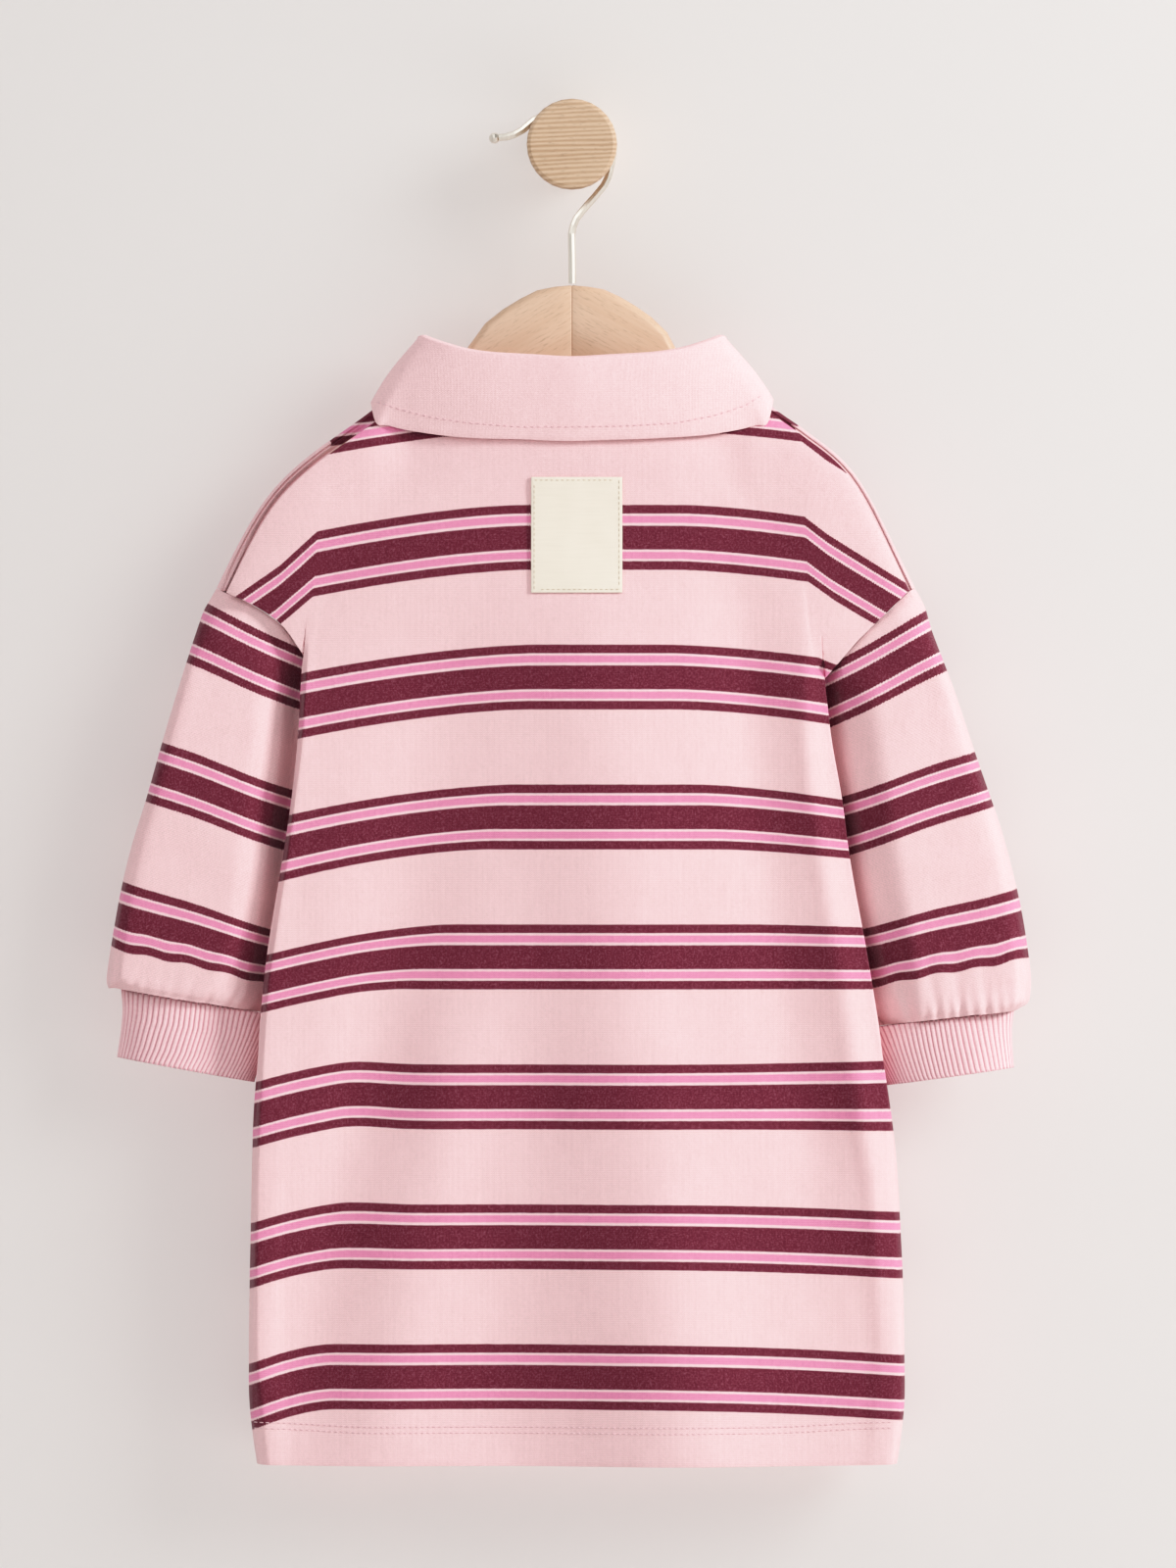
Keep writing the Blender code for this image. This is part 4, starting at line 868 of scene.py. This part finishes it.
def calmRibs(bm, rounds):
    # Moves each vertex between its two neighbours round the cuff, so the ribs of the node fade.
    beside = {}
    for vert in bm.verts:
        near = [e.other_vert(vert) for e in vert.link_edges if e.calc_length() < 2.2 * mm]
        pairs = [(a, b) for k, a in enumerate(near) for b in near[k + 1:]]
        if pairs:
            beside[vert] = min(pairs, key=lambda pair: (pair[0].co - vert.co).normalized().dot(
                (pair[1].co - vert.co).normalized()))
    for _ in range(rounds):
        moves = {v: ((a.co + b.co) / 2 - v.co) * 0.5 for v, (a, b) in beside.items()}
        for vert, move in moves.items():
            vert.co += move


def ringPlace(side, low, high):
    # Gives for a place on a cuff the length round it from its outer end, and the rib it lies on.
    outer, across, width, up = seamFrame(side)
    half, middle = (high.y - low.y) / 2 / mm, (high.y + low.y) / 2 / mm
    turns = [pi * k / 80 for k in range(81)]
    points = [(-width / 2 * cos(t), half * sin(t)) for t in turns]
    lengths = [0.0]
    for (x0, y0), (x1, y1) in zip(points, points[1:]):
        lengths.append(lengths[-1] + hypot(x1 - x0, y1 - y0))

    def placeAt(place):
        flat = Vector((place.x, 0, place.z)) - outer
        fallen = min(max(-flat.dot(up) / cuffRibs["height"], 0.0), 1.0)
        swing = through((0.0, 0.35, 0.7, 1.0), cuffRibs["swing"][side], fallen)
        x, y = flat.dot(across) - swing - width / 2, place.y - middle
        turn = atan2(abs(y) / half, -x / (width / 2))
        length = through(turns, lengths, turn)
        lean = through((0.0, 0.25, 0.5, 0.75, 1.0), cuffRibs["lean"], turn / pi)
        facing = -1 if y < 0 else 1
        return -facing * (length + lean * width * fallen), Vector((x / width, 0, 0)) + Vector(
            (0, y / half, 0))
    return placeAt


def makeCuff(side):
    settings = {"calm": 8, "levels": 2}
    obj = quadCopy("cuff_" + side, "cuff" + side.capitalize())
    bm = bmesh.new()
    bm.from_mesh(obj.data)
    calmRibs(bm, settings["calm"])
    tall = [e for e in bm.edges if e.calc_length() > 3 * mm
            and abs(e.verts[0].co.z - e.verts[1].co.z) > 0.7 * e.calc_length()]
    bmesh.ops.subdivide_edges(bm, edges=tall, cuts=1, use_grid_fill=True)
    bm.to_mesh(obj.data)
    bm.free()
    refine(obj, settings["levels"], 0)
    placeAt = ringPlace(side, *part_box("cuff_" + side))

    def shift(place, normal):
        along, outward = placeAt(place)
        if normal.dot(outward) < 0.2:
            return Vector()
        crest = abs(sin(pi * along / cuffRibs["pitch"])) ** 0.7
        return normal * cuffRibs["relief"] * (crest - 0.7)

    def fabricAt(place, normal):
        along, _ = placeAt(place)
        return along, place.z, along

    moveVertices(obj, shift)
    giveFabric(obj, fabricAt)
    dress(obj, rib, "rib", "cuff_" + side)
    return obj


def makeCollar():
    settings = {"levels": 2, "rim": 0.5}
    obj = quadCopy("collar", "collarFall")
    refine(obj, settings["levels"])

    def shift(place, normal):
        soft = 0.35 * wander(place.x, place.y, place.z, 26, 8.8)
        return normal * soft * smoothStep(-108, -116, place.z)

    def fabricAt(place, normal):
        around = atan2(place.x, -(place.y - midPlane)) * 45
        return place.x * 0.7 + around * 0.3, place.z, 0.0

    shapeCloth(obj, shift, fabricAt, settings["rim"])
    dress(obj, collarJersey, "collar_jersey", "collar")
    return obj


def makeArm(side):
    # An arm of the hanger, whose mitre closes on the other arm without a gap.
    settings = {"mitre": 1.0, "left": 0.02, "rim": 0.5}
    obj = quadCopy("hanger_arm_" + side, "hangerArm" + side.capitalize())
    for vert in obj.data.vertices:
        if abs(vert.co.x) < settings["mitre"] * mm:
            vert.co.x *= settings["left"]
    roundRims(obj, settings["rim"])
    beech = woodMaterial("beech" + side.capitalize(), armTilt[side], (3, 7, 11),
                         (228, 197, 172), (211, 175, 148), 0.12)
    return dress(obj, beech, "beech", "hanger_arm_" + side)


def makePatch():
    settings = {"levels": 2, "rim": 0.2, "pucker": 0.10}
    obj = quadCopy("label_patch", "labelPatch")
    refine(obj, settings["levels"])

    def shift(place, normal):
        own = settings["pucker"] * wander(place.x, 0, place.z, 9, 2.2)
        return Vector((0, own - backShift(place.x, place.z) * belowShoulders(place.z), 0))

    def fabricAt(place, normal):
        return place.x, place.z, 0.0

    shapeCloth(obj, shift, fabricAt, settings["rim"])
    dress(obj, patchWeave, "patch", "label_patch")
    return obj


def treeOf(*objects):
    # All the given pieces as one surface to meet with a ray.
    bm = bmesh.new()
    for obj in objects:
        bm.from_mesh(obj.data)
    tree = BVHTree.FromBMesh(bm)
    bm.free()
    return tree


def stitchRow(bm, tree, line, stitch, gap, radius, side=-1, lift=0.15):
    # Sews small threads along a line of (x, z) in mm, on the cloth met from the given side.
    places, lengths = [], [0.0]
    for (x0, z0), (x1, z1) in zip(line, line[1:]):
        lengths.append(lengths[-1] + hypot(x1 - x0, z1 - z0))
    xs, zs = zip(*line)
    count = int(lengths[-1] / (stitch + gap))
    for k in range(count):
        ends = []
        for at in (k * (stitch + gap), k * (stitch + gap) + stitch):
            x, z = through(lengths, xs, at), through(lengths, zs, at)
            hit = tree.ray_cast(Vector((x, side * 400, z)) * mm, Vector((0, -side, 0)))
            if hit[0] is not None:
                ends.append((hit[0] / mm + hit[1] * lift, hit[1]))
        if len(ends) == 2 and (ends[0][0] - ends[1][0]).length < 3 * stitch:
            places.append(ends)
    for (a, normal), (b, _) in places:
        addThread(bm, a, b, normal, radius)


def addThread(bm, a, b, normal, radius):
    # One stitch: a short plump thread that dips into the cloth at both ends.
    way = b - a
    length = way.length
    way = way / length
    side = normal.cross(way).normalized()
    turn = Matrix((way, side, way.cross(side))).transposed().to_4x4()
    made = bmesh.ops.create_icosphere(bm, subdivisions=1, radius=1.0)["verts"]
    bmesh.ops.scale(bm, verts=made, vec=(length * 0.54, radius, radius * 0.8))
    bmesh.ops.transform(bm, verts=made, matrix=Matrix.Translation((a + b) / 2) @ turn)
    bmesh.ops.scale(bm, verts=made, vec=(mm, mm, mm))


def finishStitches(bm, name, material):
    for face in bm.faces:
        face.smooth = True
    mesh = bpy.data.meshes.new(name)
    bm.to_mesh(mesh)
    bm.free()
    obj = bpy.data.objects.new(name, mesh)
    bpy.context.scene.collection.objects.link(obj)
    mesh.materials.append(material)
    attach(obj, "root")
    return obj


def makeHemStitches(back, front):
    # The twin-needle rows above the hem, round both panels.
    settings = {"rows": (-601.6, -604.4), "stitch": 2.0, "gap": 0.7, "radius": 0.26}
    bm = bmesh.new()
    for panel, side in ((back, -1), (front, 1)):
        tree = treeOf(panel)
        for row in settings["rows"]:
            line = []
            for k in range(61):
                x = -149 + 302 * k / 60
                lift = 2.2 * smoothStep(90, 150, abs(x))
                line.append((x, row + lift))
            stitchRow(bm, tree, line, settings["stitch"], settings["gap"], settings["radius"], side)
    return finishStitches(bm, "hemStitches", pinkThread)


def makeCollarStitches(collar):
    # The row of topstitching just above the collar's lower edge.
    settings = {"inset": 6.4, "stitch": 2.3, "gap": 0.9, "radius": 0.24}
    edge = [fromPhoto(x, y) for x, y in (
        (384, 424), (410, 432), (440, 440), (480, 446), (530, 450), (583, 450), (640, 449),
        (690, 446), (730, 438), (760, 428), (781, 415))]
    line = [(x, z + settings["inset"]) for x, z in edge]
    bm = bmesh.new()
    stitchRow(bm, treeOf(collar), line, settings["stitch"], settings["gap"], settings["radius"])
    return finishStitches(bm, "collarStitches", pinkThread)


def makePatchStitches(patch):
    # The running stitch around the woven patch.
    settings = {"inset": 1.5, "stitch": 1.7, "gap": 0.8, "radius": 0.2}
    low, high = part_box("label_patch")
    left, right = low.x / mm + settings["inset"], high.x / mm - settings["inset"]
    bottom, top = low.z / mm + settings["inset"], high.z / mm - settings["inset"]
    bm = bmesh.new()
    tree = treeOf(patch)
    for line in (((left, top), (right, top)), ((right, top), (right, bottom)),
                 ((right, bottom), (left, bottom)), ((left, bottom), (left, top))):
        stitchRow(bm, tree, line, settings["stitch"], settings["gap"], settings["radius"], lift=0.08)
    return finishStitches(bm, "patchStitches", creamThread)


armTilt = {"left": 30.0, "right": -30.0}      # degrees the grain of each arm leans
jersey = knitMaterial("stripedJersey")
collarJersey = knitMaterial("collarKnit", ground=(250, 205, 208), wale=1.1, course=0.85, bump=0.3)
# The cuff's second colour is the painted shade in the grooves between its ribs.
rib = knitMaterial("cuffRib", ground=(252, 206, 211), wale=1.2, course=0.85, bump=0.3,
                   ribs=(cuffRibs["pitch"], (200, 128, 140)))
patchWeave = wovenMaterial("patchWeave", (242, 231, 214))
pinkThread = threadMaterial("pinkThread", (240, 196, 203))
creamThread = threadMaterial("creamThread", (212, 196, 170))

makeCamera()
wall = makeRoom()
print("camera and room ready")

back = makePanel("back")
front = makePanel("front")
print("panels ready")
sleeves = {side: makeSleeve(side) for side in ("left", "right")}
cuffs = {side: makeCuff(side) for side in ("left", "right")}
print("sleeves and cuffs ready")
collar = makeCollar()
patch = makePatch()
print("collar and patch ready")
hemStitches = makeHemStitches(back, front)
collarStitches = makeCollarStitches(collar)
patchStitches = makePatchStitches(patch)
print("stitches ready")

arms = {side: makeArm(side) for side in ("left", "right")}
peg = nodes["wall_peg"]
peg.data.materials.clear()
peg.data.materials.append(woodMaterial("pegBeech", 3.0, (40, 0, 12),
                                       (209, 179, 151), (180, 147, 118)))
hook = nodes["hanger_hook"]
hook.data.materials.clear()
hook.data.materials.append(metalMaterial("nickelWire"))
print("wood and wire ready")

makeLights([back, front, collar, patch, hemStitches, collarStitches, patchStitches, peg, hook,
            *sleeves.values(), *cuffs.values(), *arms.values()], wall)
softenHighlights()
print("lights ready")
